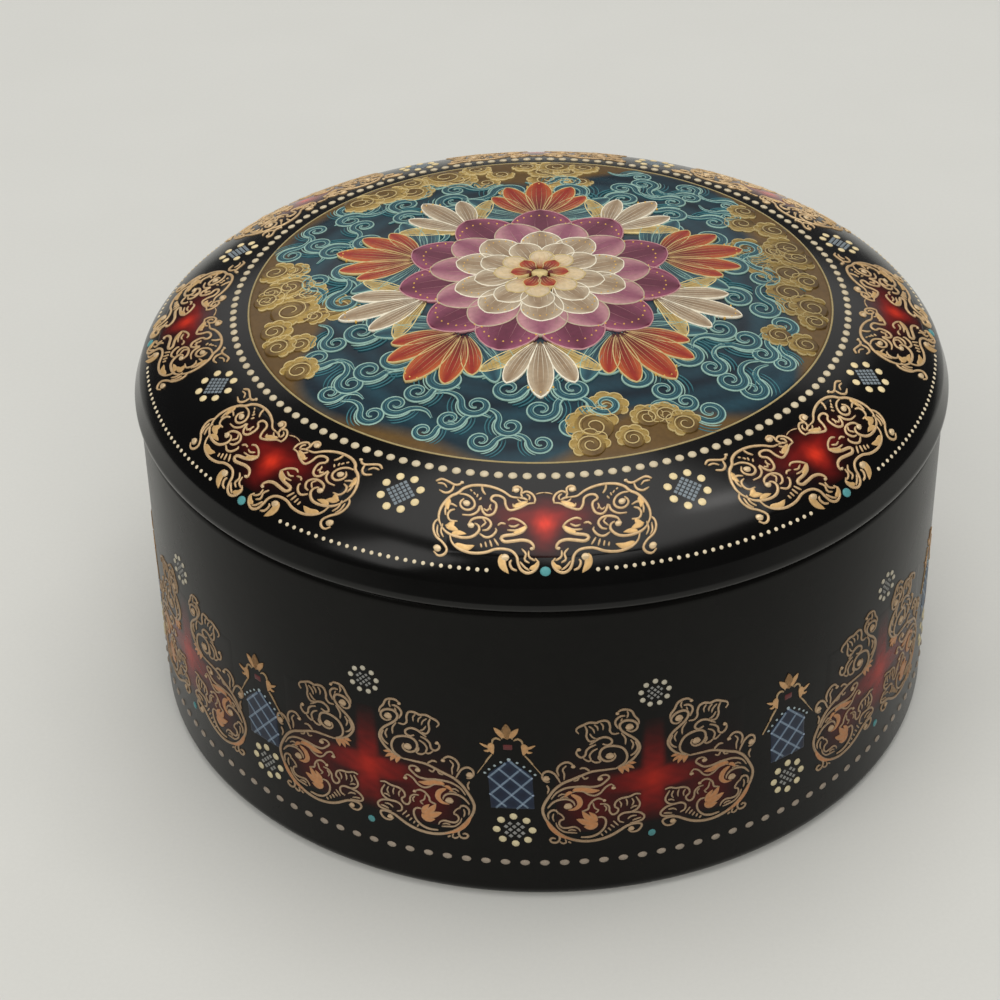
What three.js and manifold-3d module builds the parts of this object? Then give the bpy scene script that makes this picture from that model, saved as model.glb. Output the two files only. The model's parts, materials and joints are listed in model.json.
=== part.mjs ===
// A round porcelain music box with a lift-off lid, a tray for trinkets and a wind-up movement
// under the tray. Millimetres, +Z up. The origin is the middle of the foot ring, on the table.
import * as THREE from 'three';
import { mergeVertices } from 'three/addons/utils/BufferGeometryUtils.js';
import Module from 'manifold-3d';

const wasm = await Module();
wasm.setup();

// Porcelain drum
const mouthWall = 4;
const ledgeWidth = 1;
const mouthDepth = 8;
const plateWellGap = 1.08;
const trayHeadroom = 0.84;
const seatRound = 1.2;
const mouthChamfer = 0.5;
const footRound = 1.8;
const footWall = 6;
const footChamfer = 0.8;
const recessDepth = 11;
const floorThickness = 3.5;
const floorCorner = 0.6;
const keyHoleRadius = 4;
const floorScrewHoleRadius = 2;

// Porcelain lid: a shallow dome over a short upright rim, with a ring that drops into the mouth
const lidOverhang = 0.5;
const lidWall = 3.5;
const lidRimHeight = 0.8;
const lidDomeHeight = 12.4;
const domePower = 2.4;
const lidEdgeRound = 0.7;
const flangeDepth = 3.2;
const flangeWall = 3.4;
const flangeClearance = 0.6;
const flangeChamfer = 0.3;
const domeInnerStep = 1;

// Plastic tray over the movement
const trayClearance = 0.3;
const trayFloor = 1.5;
const trayRim = 3.8;
const trayRimWall = 1.2;
const guideBossWall = 1;
const guideBossDepth = 1;

// Bedplate of the movement, measured from its underside; the winding axis is the origin
const plateThickness = 2;
const plateBackMargin = 2;
const plateFrontMargin = 1.25;
const plateVaneMargin = 1.9;
const plateCorner = 3;
const screwBossRadius = 3;
const screwBossHeight = 2.5;
const combBlockWidth = 5.6;
const combRootGap = 2.5;

// Screws that hold the bedplate to the porcelain floor from below, with fibre washers
const floorScrewRadius = 1.5;
const floorScrewHeadRadius = 2.8;
const floorScrewHeadHeight = 1.6;
const washerRadius = 3.6;
const washerThickness = 0.8;
const floorScrewTipGap = 0.4;
const floorScrewInset = 4.1;

// Spring stage on the winding axis
const cupRadius = 10.5;
const cupHeight = 6;
const cupWall = 0.8;
const arborRadius = 1.5;
const arborCoreRadius = 2.2;
const strip = { thickness: 0.35, turns: 5, innerGap: 0.4, endGap: 0.4, headroom: 0.5 };
const wheelGap = 0.3;
const wheelThickness = 1;
const wheelTeeth = 36;
const crownPitchRadius = 9.75;
const crownFace = 1.4;
const crownToothHeight = 1.1;
const crownToothWidth = 0.55;
const ratchetTeeth = 20;
const ratchetGap = 1;
const ratchetToothDepth = 0.7;
const ratchetThickness = 1;
const ratchetLift = 0.2;
const clickClearance = 0.2;
const clickThickness = 0.8;
const clickBossRadius = 1.1;
const clickBossGap = 0.47;
const clickScrewRadius = 0.6;
const clickScrewHeadRadius = 1.1;
const clickSpringWidth = 0.3;
const clipThickness = 0.5;
const clipWidth = 1.1;
const arborTop = 0.5;

// Winding key on the lower end of the arbor
const keyLobeHalfLength = 5.5;
const keyLobeHalfHeight = 3.3;
const keyLobeReach = 6.6;
const keyLobeWall = 2;
const keyThickness = 1.8;
const keyTableGap = 1.6;
const keyBossRadius = 3.1;
const keyBossHeight = 5.6;
const keyBossGap = 0.3;
const keySocketDepth = 4;

// Pinned cylinder on a lengthwise arbor
const cylinderRadius = 5.9;
const cylinderMargin = 0.5;
const cylinderWall = 0.8;
const cylinderGap = 1.35;
const capThickness = 0.8;
const trackCount = 18;
const trackPitch = 1;
const pinsPerTrack = 2;
const pinWidth = 0.35;
const pinHeight = 0.45;
const cylinderArborRadius = 0.8;
const pinionTeeth = 10;
const pinionAddendum = 0.4;
const pinionDedendum = 0.7;
const trainModule = 0.34;
const toothAddendumShare = 0.9;
const toothDedendumShare = 1.25;
const cylinderGearTeeth = 40;
const cylinderGearThickness = 1.2;
const cylinderGearGap = 0.35;
const bearingThickness = 1.2;
const leftBearingGap = 0.95;
const rightBearingGap = 1;
const bearingHalfWidth = 2.5;
const bearingFootLength = 5;
const bearingFootThickness = 1.2;
const bearingCrown = 1.7;

// Comb
const combTipGap = 0.25;
const combToothWidth = 0.7;
const combToothThickness = 0.6;
const combBaseThickness = 1.6;
const combShortTooth = 4.2;
const combLongTooth = 6.8;
const combHang = 0.8;

// Governor: worm wheel, worm and air vane in a folded frame
const governorPinionTeeth = 10;
const wormWheelTeeth = 16;
const wormWheelRadius = 3.4;
const wormWheelThickness = 1;
const wormWheelGap = 0.7;
const wormWheelAddendum = 0.35;
const wormWheelDedendum = 0.5;
const governorArborRadius = 0.45;
const meshSlack = 0.05;
const wormPitchRadius = 1.1;
const wormRootRadius = 0.65;
const wormThreadHeight = 0.8;
const wormThreadBase = 0.42;
const wormThreadTip = 0.28;
const wormTurns = 3.5;
const framePostThickness = 1;
const framePostGap = 0.7;
const frameArmGap = 0.35;
const frameInnerPostWidth = 4.5;
const frameOuterPostWidth = 3.2;
const frameWall = 1.9;
const frameFootLength = 4.4;
const frameOuterFootLength = 3.8;
const vaneRadius = 3;
const vaneHeight = 3;
const vaneThickness = 0.4;
const vaneHubRadius = 1;
const vaneLift = 2;
const pivotRadius = 0.4;
const pivotDepth = 0.9;

// Stop: a sprung pin that the lid holds down, with a finger beside the vane
const stopPinRadius = 0.9;
const stopPinInset = 0.6;
const stopBossWall = 0.7;
const stopBossHeight = 5.5;
const stopSocketFloor = 1;
const stopPinFootGap = 0.4;
const stopCollarRadius = 1.6;
const stopCollarHeight = 1;
const stopCollarRise = 6;
const stopWireWidth = 0.7;
const stopFingerTip = 4.5;
const stopSpring = { meanRadius: 1.35, wireRadius: 0.25, curls: 5, endGap: 0.3 };

// Small screws of the movement
const smallScrewRadius = 0.9;
const smallScrewHeadRadius = 1.6;
const smallScrewHeadHeight = 1;
const slotWidth = 0.5;
const slotDepth = 0.5;
const smallScrewGrip = 4;
const foldedScrewGrip = 2.6;

// Fits shared by all pieces
const runningFit = 0.08;
const screwFit = 0.1;
const seatGap = 0.3;
const cutOverrun = 1;
const joinOverlap = 0.2;

// Facets
const drumFacets = 48;
const domeSteps = 10;
const innerDomeSteps = 6;
const roundSteps = 3;
const wheelFacets = 36;
const rodFacets = 16;
const screwFacets = 12;
const loopSteps = 20;
const curlSteps = 8;
const curlSides = 5;
const threadSteps = 12;

// Sizes of the movement, worked out from the ones above
const cupTop = plateThickness + cupHeight;
const wheelBottom = cupTop + wheelGap;
const wheelTop = wheelBottom + wheelThickness;
const crownPitch = 2 * Math.PI * crownPitchRadius / wheelTeeth;
const pinionPitchRadius = crownPitch * pinionTeeth / (2 * Math.PI);
const axisHeight = wheelTop + crownToothHeight / 2 + pinionPitchRadius;
const crownOuter = crownPitchRadius + crownFace / 2;
const crownInner = crownPitchRadius - crownFace / 2;
const clickSpringRadius = crownInner - runningFit - clickSpringWidth;
const clickPivotRadius = clickSpringRadius - clickBossGap - clickBossRadius;
const ratchetRadius = clickPivotRadius - clickBossRadius - ratchetGap;
const pinCircle = cylinderRadius + pinHeight;
const leftBearingStart = Math.max(cupRadius, crownOuter) + leftBearingGap;
const cylinderStart = leftBearingStart + bearingThickness + cylinderGap;
const cylinderLength = trackCount * trackPitch + 2 * cylinderMargin;
const cylinderEnd = cylinderStart + cylinderLength;
const cylinderGearStart = cylinderEnd + cylinderGearGap;
const cylinderGearEnd = cylinderGearStart + cylinderGearThickness;
const cylinderGearRadius = trainModule * cylinderGearTeeth / 2;
const governorPinionRadius = trainModule * governorPinionTeeth / 2;
const toothAddendum = toothAddendumShare * trainModule;
const toothDedendum = toothDedendumShare * trainModule;
const rightBearingStart = cylinderGearEnd + rightBearingGap;
const governorSide = -(cylinderGearRadius + governorPinionRadius + meshSlack);
const wormWheelStart = cylinderGearEnd + wormWheelGap;
const wormWheelMiddle = wormWheelStart + wormWheelThickness / 2;
const wormSide = governorSide - (wormWheelRadius + wormPitchRadius + meshSlack);
const wormPitch = 2 * Math.PI * wormWheelRadius / wormWheelTeeth;
const innerPostEnd = cylinderGearStart - framePostGap;
const outerPostStart = wormWheelStart + wormWheelThickness + framePostThickness;
const frameArmBottom = axisHeight + wormWheelRadius + wormWheelAddendum + frameArmGap;
const frameTop = frameArmBottom + framePostThickness;
const combTip = pinCircle + combTipGap;
const combBlockTop = axisHeight - combHang;
const plateBack = cupRadius + plateBackMargin;
const plateFront = outerPostStart + framePostThickness + plateFrontMargin;
const plateSide = vaneRadius - wormSide + plateVaneMargin;
const plateCombSide = combTip + combLongTooth + combRootGap + combBlockWidth;
const movementTop = Math.max(axisHeight + cylinderGearRadius + toothAddendum, frameTop);
const plateReach = plateCorner
  + Math.hypot(plateFront - plateCorner, plateCombSide - plateCorner);

// Sizes of the porcelain, which is built round the movement
const wellRadius = plateReach + plateWellGap;
const mouthRadius = wellRadius + ledgeWidth;
const bodyRadius = mouthRadius + mouthWall;
const recessRadius = bodyRadius - footWall;
const floorTop = recessDepth + floorThickness;
const ledgeHeight = floorTop + movementTop + trayHeadroom;
const bodyHeight = ledgeHeight + mouthDepth;
const lidRadius = bodyRadius + lidOverhang;
const flangeRadius = mouthRadius - flangeClearance;
const flangeInner = flangeRadius - flangeWall;
const flangeBottom = bodyHeight - flangeDepth;
const trayRadius = mouthRadius - trayClearance;

// Sizes of the stop, which the lid's ring holds down
const stopX = wormWheelMiddle;
const stopY = -Math.sqrt((flangeInner + stopPinInset) ** 2 - stopX ** 2);
const stopBossTop = plateThickness + stopBossHeight;
const stopCollarBottom = stopBossTop + stopCollarRise;
const stopPinTop = flangeBottom - seatGap - floorTop;

// Screws through the porcelain floor into the bedplate
const floorScrewPlaces = {
  comb: [cylinderStart + cylinderLength / 2, plateCombSide - combBlockWidth / 2],
  spring: [floorScrewInset - plateBack, floorScrewInset - plateSide],
  side: [cylinderStart + cylinderLength / 2, floorScrewInset - plateSide],
};

// Colours and finishes
const looks = {
  blackGlaze: { color: 0x1c1b1a, roughness: 0.18, metalness: 0 },
  satinGlaze: { color: 0x23211f, roughness: 0.42, metalness: 0 },
  darkPlastic: { color: 0x2a2826, roughness: 0.6, metalness: 0 },
  fibre: { color: 0x7a4632, roughness: 0.9, metalness: 0 },
  castZinc: { color: 0x9b9d9f, roughness: 0.5, metalness: 0.9 },
  brass: { color: 0xc9a24f, roughness: 0.3, metalness: 1 },
  steel: { color: 0xb9bcc0, roughness: 0.3, metalness: 1 },
  springSteel: { color: 0x5a6070, roughness: 0.35, metalness: 1 },
  nylon: { color: 0xe9e4d4, roughness: 0.5, metalness: 0 },
};

// Makes a closed geometry into a solid that can be joined and cut
function solid(geometry) {
  const bare = new THREE.BufferGeometry();
  bare.setAttribute('position', geometry.getAttribute('position'));
  bare.setIndex(geometry.getIndex());
  const merged = mergeVertices(bare);
  const corners = [];
  const index = merged.getIndex().array;
  for (let i = 0; i < index.length; i += 3) {
    const [a, b, c] = [index[i], index[i + 1], index[i + 2]];
    if (a !== b && b !== c && c !== a) corners.push(a, b, c);
  }
  return new wasm.Manifold(new wasm.Mesh({
    numProp: 3,
    vertProperties: Float32Array.from(merged.getAttribute('position').array),
    triVerts: Uint32Array.from(corners),
  }));
}

// Gives a solid back as a geometry for a mesh
function geometryOf(shape) {
  const mesh = shape.getMesh();
  const geometry = new THREE.BufferGeometry();
  geometry.setAttribute('position', new THREE.BufferAttribute(mesh.vertProperties, 3));
  geometry.setIndex(new THREE.BufferAttribute(mesh.triVerts, 1));
  geometry.computeVertexNormals();
  return geometry;
}

function joined(first, ...rest) {
  return rest.reduce((whole, next) => whole.add(next), first);
}

function cut(first, ...rest) {
  return rest.reduce((whole, next) => whole.subtract(next), first);
}

// A piece turned about Z from a profile of [radius, height] points, outer side upwards
function turned(profile, facets) {
  const points = profile.map(([r, z]) => new THREE.Vector2(r, z));
  return solid(new THREE.LatheGeometry(points, facets).rotateX(Math.PI / 2));
}

// Points of a quarter or other arc in a profile
function arc(middle, radius, from, to, steps = roundSteps) {
  return Array.from({ length: steps + 1 }, (_, i) => {
    const turn = from + (to - from) * i / steps;
    return [middle[0] + radius * Math.cos(turn), middle[1] + radius * Math.sin(turn)];
  });
}

function rod(radius, bottom, top, facets = rodFacets, x = 0, y = 0) {
  const geometry = new THREE.CylinderGeometry(radius, radius, top - bottom, facets);
  return solid(geometry.rotateX(Math.PI / 2).translate(x, y, (top + bottom) / 2));
}

function block([x0, x1], [y0, y1], [z0, z1]) {
  const geometry = new THREE.BoxGeometry(x1 - x0, y1 - y0, z1 - z0);
  return solid(geometry.translate((x0 + x1) / 2, (y0 + y1) / 2, (z0 + z1) / 2));
}

// A flat outline of [x, y] points with a thickness upwards from a height
function slab(outline, bottom, top) {
  const shape = new THREE.Shape(outline.map(([x, y]) => new THREE.Vector2(x, y)));
  const geometry = new THREE.ExtrudeGeometry(shape, { depth: top - bottom, bevelEnabled: false });
  return solid(geometry.translate(0, 0, bottom));
}

// Turns a solid made along Z so that it lies along X: its x becomes Y and its y becomes Z
const lengthwise = new THREE.Matrix4().makeBasis(
  new THREE.Vector3(0, 1, 0), new THREE.Vector3(0, 0, 1), new THREE.Vector3(1, 0, 0));

function alongX(shape) {
  return solid(geometryOf(shape).applyMatrix4(lengthwise));
}

function place(node, x, y, z) {
  node.position.set(x, y, z);
  return node;
}

function piece(name, look, shape) {
  const mesh = new THREE.Mesh(geometryOf(shape), new THREE.MeshStandardMaterial(looks[look]));
  mesh.name = name;
  return mesh;
}

// Outline of a straight-sided gear; the first tooth points along the given turn
function gearOutline(teeth, root, pitch, tip, widths, firstTurn) {
  const outline = [];
  for (let i = 0; i < teeth; i += 1) {
    const middle = firstTurn + 2 * Math.PI * i / teeth;
    const corners = [[root, -widths[0]], [tip, -widths[1]], [tip, widths[1]], [root, widths[0]]];
    for (const [radius, half] of corners) {
      const turn = middle + half / pitch;
      outline.push([radius * Math.cos(turn), radius * Math.sin(turn)]);
    }
  }
  return outline;
}

// Tooth half-widths at root and tip, as shares of the pitch
const toothRootShare = 0.27;
const toothTipShare = 0.13;

function gear(teeth, pitchRadius, addendum, dedendum, thickness, bore, firstTurn) {
  const pitch = 2 * Math.PI * pitchRadius / teeth;
  const widths = [pitch * toothRootShare, pitch * toothTipShare];
  const outline = gearOutline(
    teeth, pitchRadius - dedendum, pitchRadius, pitchRadius + addendum, widths, firstTurn);
  return cut(slab(outline, 0, thickness), rod(bore, -cutOverrun, thickness + cutOverrun));
}

// A tube of a few sides along a helix about Z, closed at both ends
function helixTube(section, radius, pitch, turns, steps) {
  const count = Math.round(turns * steps);
  const sides = section.length;
  const places = [];
  for (let i = 0; i <= count; i += 1) {
    const turn = 2 * Math.PI * i / steps;
    const climb = pitch * i / steps;
    for (const [out, up] of section) {
      const r = radius + out;
      places.push(r * Math.cos(turn), r * Math.sin(turn), climb + up);
    }
  }
  const index = [];
  for (let i = 0; i < count; i += 1) {
    for (let j = 0; j < sides; j += 1) {
      const a = i * sides + j;
      const b = i * sides + (j + 1) % sides;
      index.push(a, a + sides, b, b, a + sides, b + sides);
    }
  }
  for (let j = 1; j < sides - 1; j += 1) {
    index.push(0, j, j + 1);
    index.push(count * sides, count * sides + j + 1, count * sides + j);
  }
  const geometry = new THREE.BufferGeometry();
  geometry.setAttribute('position', new THREE.Float32BufferAttribute(places, 3));
  geometry.setIndex(index);
  return solid(geometry);
}

// Least distance between points of a winding that lie at least half a turn apart
function leastGap(points, stepsPerTurn, thickness) {
  let least = Infinity;
  const apart = Math.floor(stepsPerTurn / 2);
  points.forEach((p, i) => {
    points.slice(i + apart).forEach((q) => {
      least = Math.min(least, p.distanceTo(q));
    });
  });
  return least - thickness;
}

// Drum

function boxBody() {
  const profile = [
    [0, recessDepth],
    [recessRadius, recessDepth],
    [recessRadius, footChamfer],
    [recessRadius + footChamfer, 0],
    ...arc([bodyRadius - footRound, footRound], footRound, -Math.PI / 2, 0),
    ...arc([bodyRadius - seatRound, bodyHeight - seatRound], seatRound, 0, Math.PI / 2),
    [mouthRadius + mouthChamfer, bodyHeight],
    [mouthRadius, bodyHeight - mouthChamfer],
    [mouthRadius, ledgeHeight],
    [wellRadius, ledgeHeight],
    [wellRadius, floorTop + floorCorner],
    [wellRadius - floorCorner, floorTop],
    [0, floorTop],
  ];
  const throughFloor = (radius, x, y) =>
    rod(radius, recessDepth - cutOverrun, floorTop + cutOverrun, rodFacets, x, y);
  const screwHoles = Object.values(floorScrewPlaces)
    .map(([x, y]) => throughFloor(floorScrewHoleRadius, x, y));
  return cut(turned(profile, drumFacets), throughFloor(keyHoleRadius, 0, 0), ...screwHoles);
}

// Half of a dome's profile from its edge to the axis: height falls as a power of the radius
function domeProfile(radius, edgeHeight, rise, steps) {
  return Array.from({ length: steps + 1 }, (_, i) => {
    const turn = Math.PI / 2 * i / steps;
    const r = radius * Math.cos(turn) ** (2 / domePower);
    return [i === steps ? 0 : r, edgeHeight + rise * Math.sin(turn)];
  });
}

function lid() {
  const domeEdge = bodyHeight + lidRimHeight;
  const innerEdge = bodyHeight + domeInnerStep;
  const innerRise = domeEdge + lidDomeHeight - lidWall - innerEdge;
  const innerDome = domeProfile(flangeInner, innerEdge, innerRise, innerDomeSteps).reverse();
  const profile = [
    ...innerDome,
    [flangeInner, flangeBottom + flangeChamfer],
    [flangeInner + flangeChamfer, flangeBottom],
    [flangeRadius - flangeChamfer, flangeBottom],
    [flangeRadius, flangeBottom + flangeChamfer],
    [flangeRadius, bodyHeight],
    ...arc([lidRadius - lidEdgeRound, bodyHeight + lidEdgeRound], lidEdgeRound, -Math.PI / 2, 0),
    ...domeProfile(lidRadius, domeEdge, lidDomeHeight, domeSteps),
  ];
  return turned(profile, drumFacets);
}

function innerTray() {
  const top = ledgeHeight + trayFloor;
  const profile = [
    [0, ledgeHeight],
    [trayRadius, ledgeHeight],
    [trayRadius, ledgeHeight + trayRim],
    [trayRadius - trayRimWall, ledgeHeight + trayRim],
    [trayRadius - trayRimWall, top],
    [0, top],
  ];
  const bore = stopPinRadius + runningFit;
  const bossBottom = ledgeHeight - guideBossDepth;
  const boss = rod(bore + guideBossWall, bossBottom, top - joinOverlap, rodFacets, stopX, stopY);
  const hole = rod(bore, bossBottom - cutOverrun, top + cutOverrun, rodFacets, stopX, stopY);
  return cut(joined(turned(profile, drumFacets), boss), hole);
}

// A pan-head screw that points up from z = 0, with its head below
function screwUp(radius, headRadius, headHeight, length, facets = screwFacets) {
  const head = rod(headRadius, -headHeight, 0, facets);
  const shank = rod(radius, -joinOverlap, length, facets);
  const slot = block(
    [-headRadius - cutOverrun, headRadius + cutOverrun],
    [-slotWidth / 2, slotWidth / 2],
    [-headHeight - cutOverrun, slotDepth - headHeight]);
  return cut(joined(head, shank), slot);
}

// A small screw that points down from z = 0, with its head above
function smallScrew(grip) {
  const head = rod(smallScrewHeadRadius, 0, smallScrewHeadHeight, screwFacets);
  const shank = rod(smallScrewRadius, -grip, joinOverlap, screwFacets);
  const slot = block(
    [-smallScrewHeadRadius - cutOverrun, smallScrewHeadRadius + cutOverrun],
    [-slotWidth / 2, slotWidth / 2],
    [smallScrewHeadHeight - slotDepth, smallScrewHeadHeight + cutOverrun]);
  return cut(joined(head, shank), slot);
}

function smallHole(x, y, bottom, top) {
  return rod(smallScrewRadius + screwFit, bottom, top, screwFacets, x, y);
}

// Places of the movement's small screws
const combScrewX = [cylinderStart + cylinderLength / 4, cylinderEnd - cylinderLength / 4];
const combScrewY = plateCombSide - combBlockWidth / 2;
const leftBearingScrewX = leftBearingStart + bearingFootLength - smallScrewHeadRadius;
const rightBearingScrewX = rightBearingStart + bearingThickness
  - bearingFootLength + smallScrewHeadRadius;
const innerFrameScrew = [
  innerPostEnd - framePostThickness - frameFootLength + smallScrewHeadRadius + screwFit,
  governorSide,
];
const outerFrameScrew = [
  outerPostStart + framePostThickness / 2,
  governorSide + frameWall + frameOuterFootLength / 2 - joinOverlap,
];

// Bedplate with its comb block, screw bosses and the guide of the stop pin

function bedplate() {
  const corner = (x, y, from) => arc([x, y], plateCorner, from, from + Math.PI / 2);
  const outline = [
    ...corner(plateFront - plateCorner, plateCombSide - plateCorner, 0),
    ...corner(plateCorner - plateBack, plateCombSide - plateCorner, Math.PI / 2),
    ...corner(plateCorner - plateBack, plateCorner - plateSide, Math.PI),
    ...corner(plateFront - plateCorner, plateCorner - plateSide, Math.PI * 3 / 2),
  ];
  const plate = slab(outline, 0, plateThickness);
  const combBlock = block(
    [cylinderStart, cylinderEnd],
    [plateCombSide - combBlockWidth, plateCombSide],
    [plateThickness - joinOverlap, combBlockTop]);
  const bossTop = plateThickness + screwBossHeight;
  const bosses = [floorScrewPlaces.spring, floorScrewPlaces.side].map(([x, y]) =>
    rod(screwBossRadius, plateThickness - joinOverlap, bossTop, rodFacets, x, y));
  const socketRadius = stopPinRadius + runningFit;
  const guideRadius = socketRadius + stopBossWall;
  const guide = rod(guideRadius, 0, stopBossTop, rodFacets, stopX, stopY);
  const tongue = block(
    [stopX - guideRadius, stopX + guideRadius], [stopY, joinOverlap - plateSide],
    [0, plateThickness]);
  const socket = rod(
    socketRadius, stopSocketFloor, stopBossTop + cutOverrun, rodFacets, stopX, stopY);
  const arborHole = rod(arborRadius + runningFit, -cutOverrun, plateThickness + cutOverrun);
  const screwHoles = Object.values(floorScrewPlaces).map(([x, y]) =>
    rod(floorScrewRadius + screwFit, -cutOverrun, bossTop, screwFacets, x, y));
  const openTops = [floorScrewPlaces.spring, floorScrewPlaces.side].map(([x, y]) =>
    rod(floorScrewRadius + screwFit, 0, bossTop + cutOverrun, screwFacets, x, y));
  const combHoles = combScrewX.map((x) => smallHole(
    x, combScrewY, combBlockTop - smallScrewGrip, combBlockTop + cutOverrun));
  const footHoles = [
    [leftBearingScrewX, 0], [rightBearingScrewX, 0], innerFrameScrew, outerFrameScrew,
  ].map(([x, y]) => smallHole(x, y, -cutOverrun, plateThickness + cutOverrun));
  const wormPit = rod(
    pivotRadius + runningFit, plateThickness - pivotDepth - seatGap,
    plateThickness + cutOverrun, screwFacets, wormWheelMiddle, wormSide);
  return cut(
    joined(plate, combBlock, ...bosses, guide, tongue),
    socket, arborHole, ...screwHoles, ...openTops, ...combHoles, ...footHoles, wormPit);
}

// Spring stage

function springCup() {
  const inner = cupRadius - cupWall;
  const bore = arborRadius + runningFit;
  const profile = [
    [bore, plateThickness],
    [cupRadius, plateThickness],
    [cupRadius, cupTop],
    [inner, cupTop],
    [inner, plateThickness + cupWall],
    [bore, plateThickness + cupWall],
    [bore, plateThickness],
  ];
  return turned(profile, wheelFacets);
}

// The strip winds outwards at a steady rate from the arbor's core to the cup's wall
function mainspring() {
  const start = arborCoreRadius + strip.innerGap + strip.thickness / 2;
  const end = cupRadius - cupWall - strip.endGap - strip.thickness / 2;
  const count = strip.turns * loopSteps;
  const middle = Array.from({ length: count + 1 }, (_, i) => {
    const turn = 2 * Math.PI * i / loopSteps;
    const radius = start + (end - start) * i / count;
    return { turn, radius };
  });
  const side = (sign) => middle.map(({ turn, radius }) => {
    const r = radius + sign * strip.thickness / 2;
    return [r * Math.cos(turn), r * Math.sin(turn)];
  });
  const points = middle.map(({ turn, radius }) =>
    new THREE.Vector3(radius * Math.cos(turn), radius * Math.sin(turn), 0));
  const gap = leastGap(points, loopSteps, strip.thickness);
  console.log(`mainspring: least gap between turns ${gap.toFixed(3)} mm`);
  const bottom = plateThickness + cupWall + strip.headroom / 2;
  return slab([...side(1), ...side(-1).reverse()], bottom, cupTop - strip.headroom);
}

const arborCoreBottom = plateThickness + cupWall + strip.headroom / 2;
const ratchetBottom = wheelTop + ratchetLift;
const ratchetTop = ratchetBottom + ratchetThickness;
const clipBottom = ratchetTop + ratchetLift;

function springArbor() {
  const bottom = recessDepth - keyBossGap - keySocketDepth + seatGap - floorTop;
  const top = clipBottom + clipThickness + arborTop;
  const journal = rod(arborRadius, bottom, top);
  return joined(journal, rod(arborCoreRadius, arborCoreBottom, cupTop - joinOverlap));
}

function springGear() {
  const disc = rod(crownOuter, wheelBottom, wheelTop, wheelFacets);
  const teeth = Array.from({ length: wheelTeeth }, (_, i) => {
    const turn = 2 * Math.PI * (i + 1 / 2) / wheelTeeth;
    const rise = crownToothHeight + joinOverlap;
    const reach = crownFace - joinOverlap;
    const tooth = new THREE.BoxGeometry(reach, crownToothWidth, rise);
    tooth.translate(crownPitchRadius, 0, wheelTop - joinOverlap + rise / 2);
    return solid(tooth.rotateZ(turn));
  });
  const bore = rod(arborRadius + runningFit, wheelBottom - cutOverrun, wheelTop + cutOverrun);
  const [x, y] = clickPivot;
  const screwHole = rod(
    clickScrewRadius + screwFit, wheelBottom - cutOverrun, wheelTop + cutOverrun,
    screwFacets, x, y);
  return cut(joined(disc, ...teeth), bore, screwHole);
}

function ratchetWheel() {
  const outline = [];
  for (let i = 0; i < ratchetTeeth; i += 1) {
    const turn = 2 * Math.PI * i / ratchetTeeth;
    outline.push([ratchetRadius * Math.cos(turn), ratchetRadius * Math.sin(turn)]);
    const low = ratchetRadius - ratchetToothDepth;
    outline.push([low * Math.cos(turn), low * Math.sin(turn)]);
  }
  const body = slab(outlineWithSteps(outline), ratchetBottom, ratchetTop);
  return cut(body, rod(
    arborRadius + runningFit / 4, ratchetBottom - cutOverrun, ratchetTop + cutOverrun));
}

// Turns every second point a little on, so that each tooth has one steep and one long side
function outlineWithSteps(outline) {
  const lean = 2 * Math.PI / ratchetTeeth / 5;
  return outline.map(([x, y], i) => {
    const turn = i % 2 ? lean : 0;
    return [
      x * Math.cos(turn) - y * Math.sin(turn),
      x * Math.sin(turn) + y * Math.cos(turn),
    ];
  });
}

// The click sits outside the ratchet's teeth, its tip just clear of them
const clickPivotTurn = Math.PI * 1.06;
const clickTipTurn = Math.PI * 0.85;
const clickPivot = [
  clickPivotRadius * Math.cos(clickPivotTurn), clickPivotRadius * Math.sin(clickPivotTurn)];

function click() {
  const tipRadius = ratchetRadius + clickClearance;
  const tip = new THREE.Vector2(
    tipRadius * Math.cos(clickTipTurn), tipRadius * Math.sin(clickTipTurn));
  const pivot = new THREE.Vector2(...clickPivot);
  const across = tip.clone().sub(pivot).normalize().rotateAround(new THREE.Vector2(), Math.PI / 2);
  const half = clickBossRadius - joinOverlap;
  const near = pivot.clone().addScaledVector(across, half);
  const far = pivot.clone().addScaledVector(across, -half);
  const bottom = ratchetBottom;
  const top = bottom + clickThickness;
  const arm = slab([[far.x, far.y], [tip.x, tip.y], [near.x, near.y]], bottom, top);
  const boss = rod(clickBossRadius, bottom, top, rodFacets, ...clickPivot);
  const hole = rod(
    clickScrewRadius + runningFit, bottom - cutOverrun, top + cutOverrun,
    screwFacets, ...clickPivot);
  return cut(joined(boss, arm), hole);
}

function clickScrew() {
  const headBottom = ratchetBottom + clickThickness + runningFit;
  const shank = rod(clickScrewRadius, wheelBottom, headBottom + joinOverlap, screwFacets);
  const head = rod(
    clickScrewHeadRadius, headBottom, headBottom + smallScrewHeadHeight / 2, screwFacets);
  return joined(shank, head);
}

// A leaf that stands on the wheel behind the click
function clickSpring() {
  const inner = clickSpringRadius;
  const outer = inner + clickSpringWidth;
  const from = clickTipTurn - Math.PI / 8;
  const outline = [
    ...arc([0, 0], outer, from, clickPivotTurn, rodFacets / 2),
    ...arc([0, 0], inner, clickPivotTurn, from, rodFacets / 2),
  ];
  return slab(outline, wheelTop, wheelTop + clickThickness);
}

// A flat spring clip with one open side round the top of the arbor
function arborClip() {
  const inner = arborRadius + runningFit / 4;
  const outer = inner + clipWidth;
  const open = Math.PI / 5;
  const outline = [
    ...arc([0, 0], outer, open, 2 * Math.PI - open, rodFacets),
    ...arc([0, 0], inner, 2 * Math.PI - open, open, rodFacets),
  ];
  return slab(outline, clipBottom, clipBottom + clipThickness);
}

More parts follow.
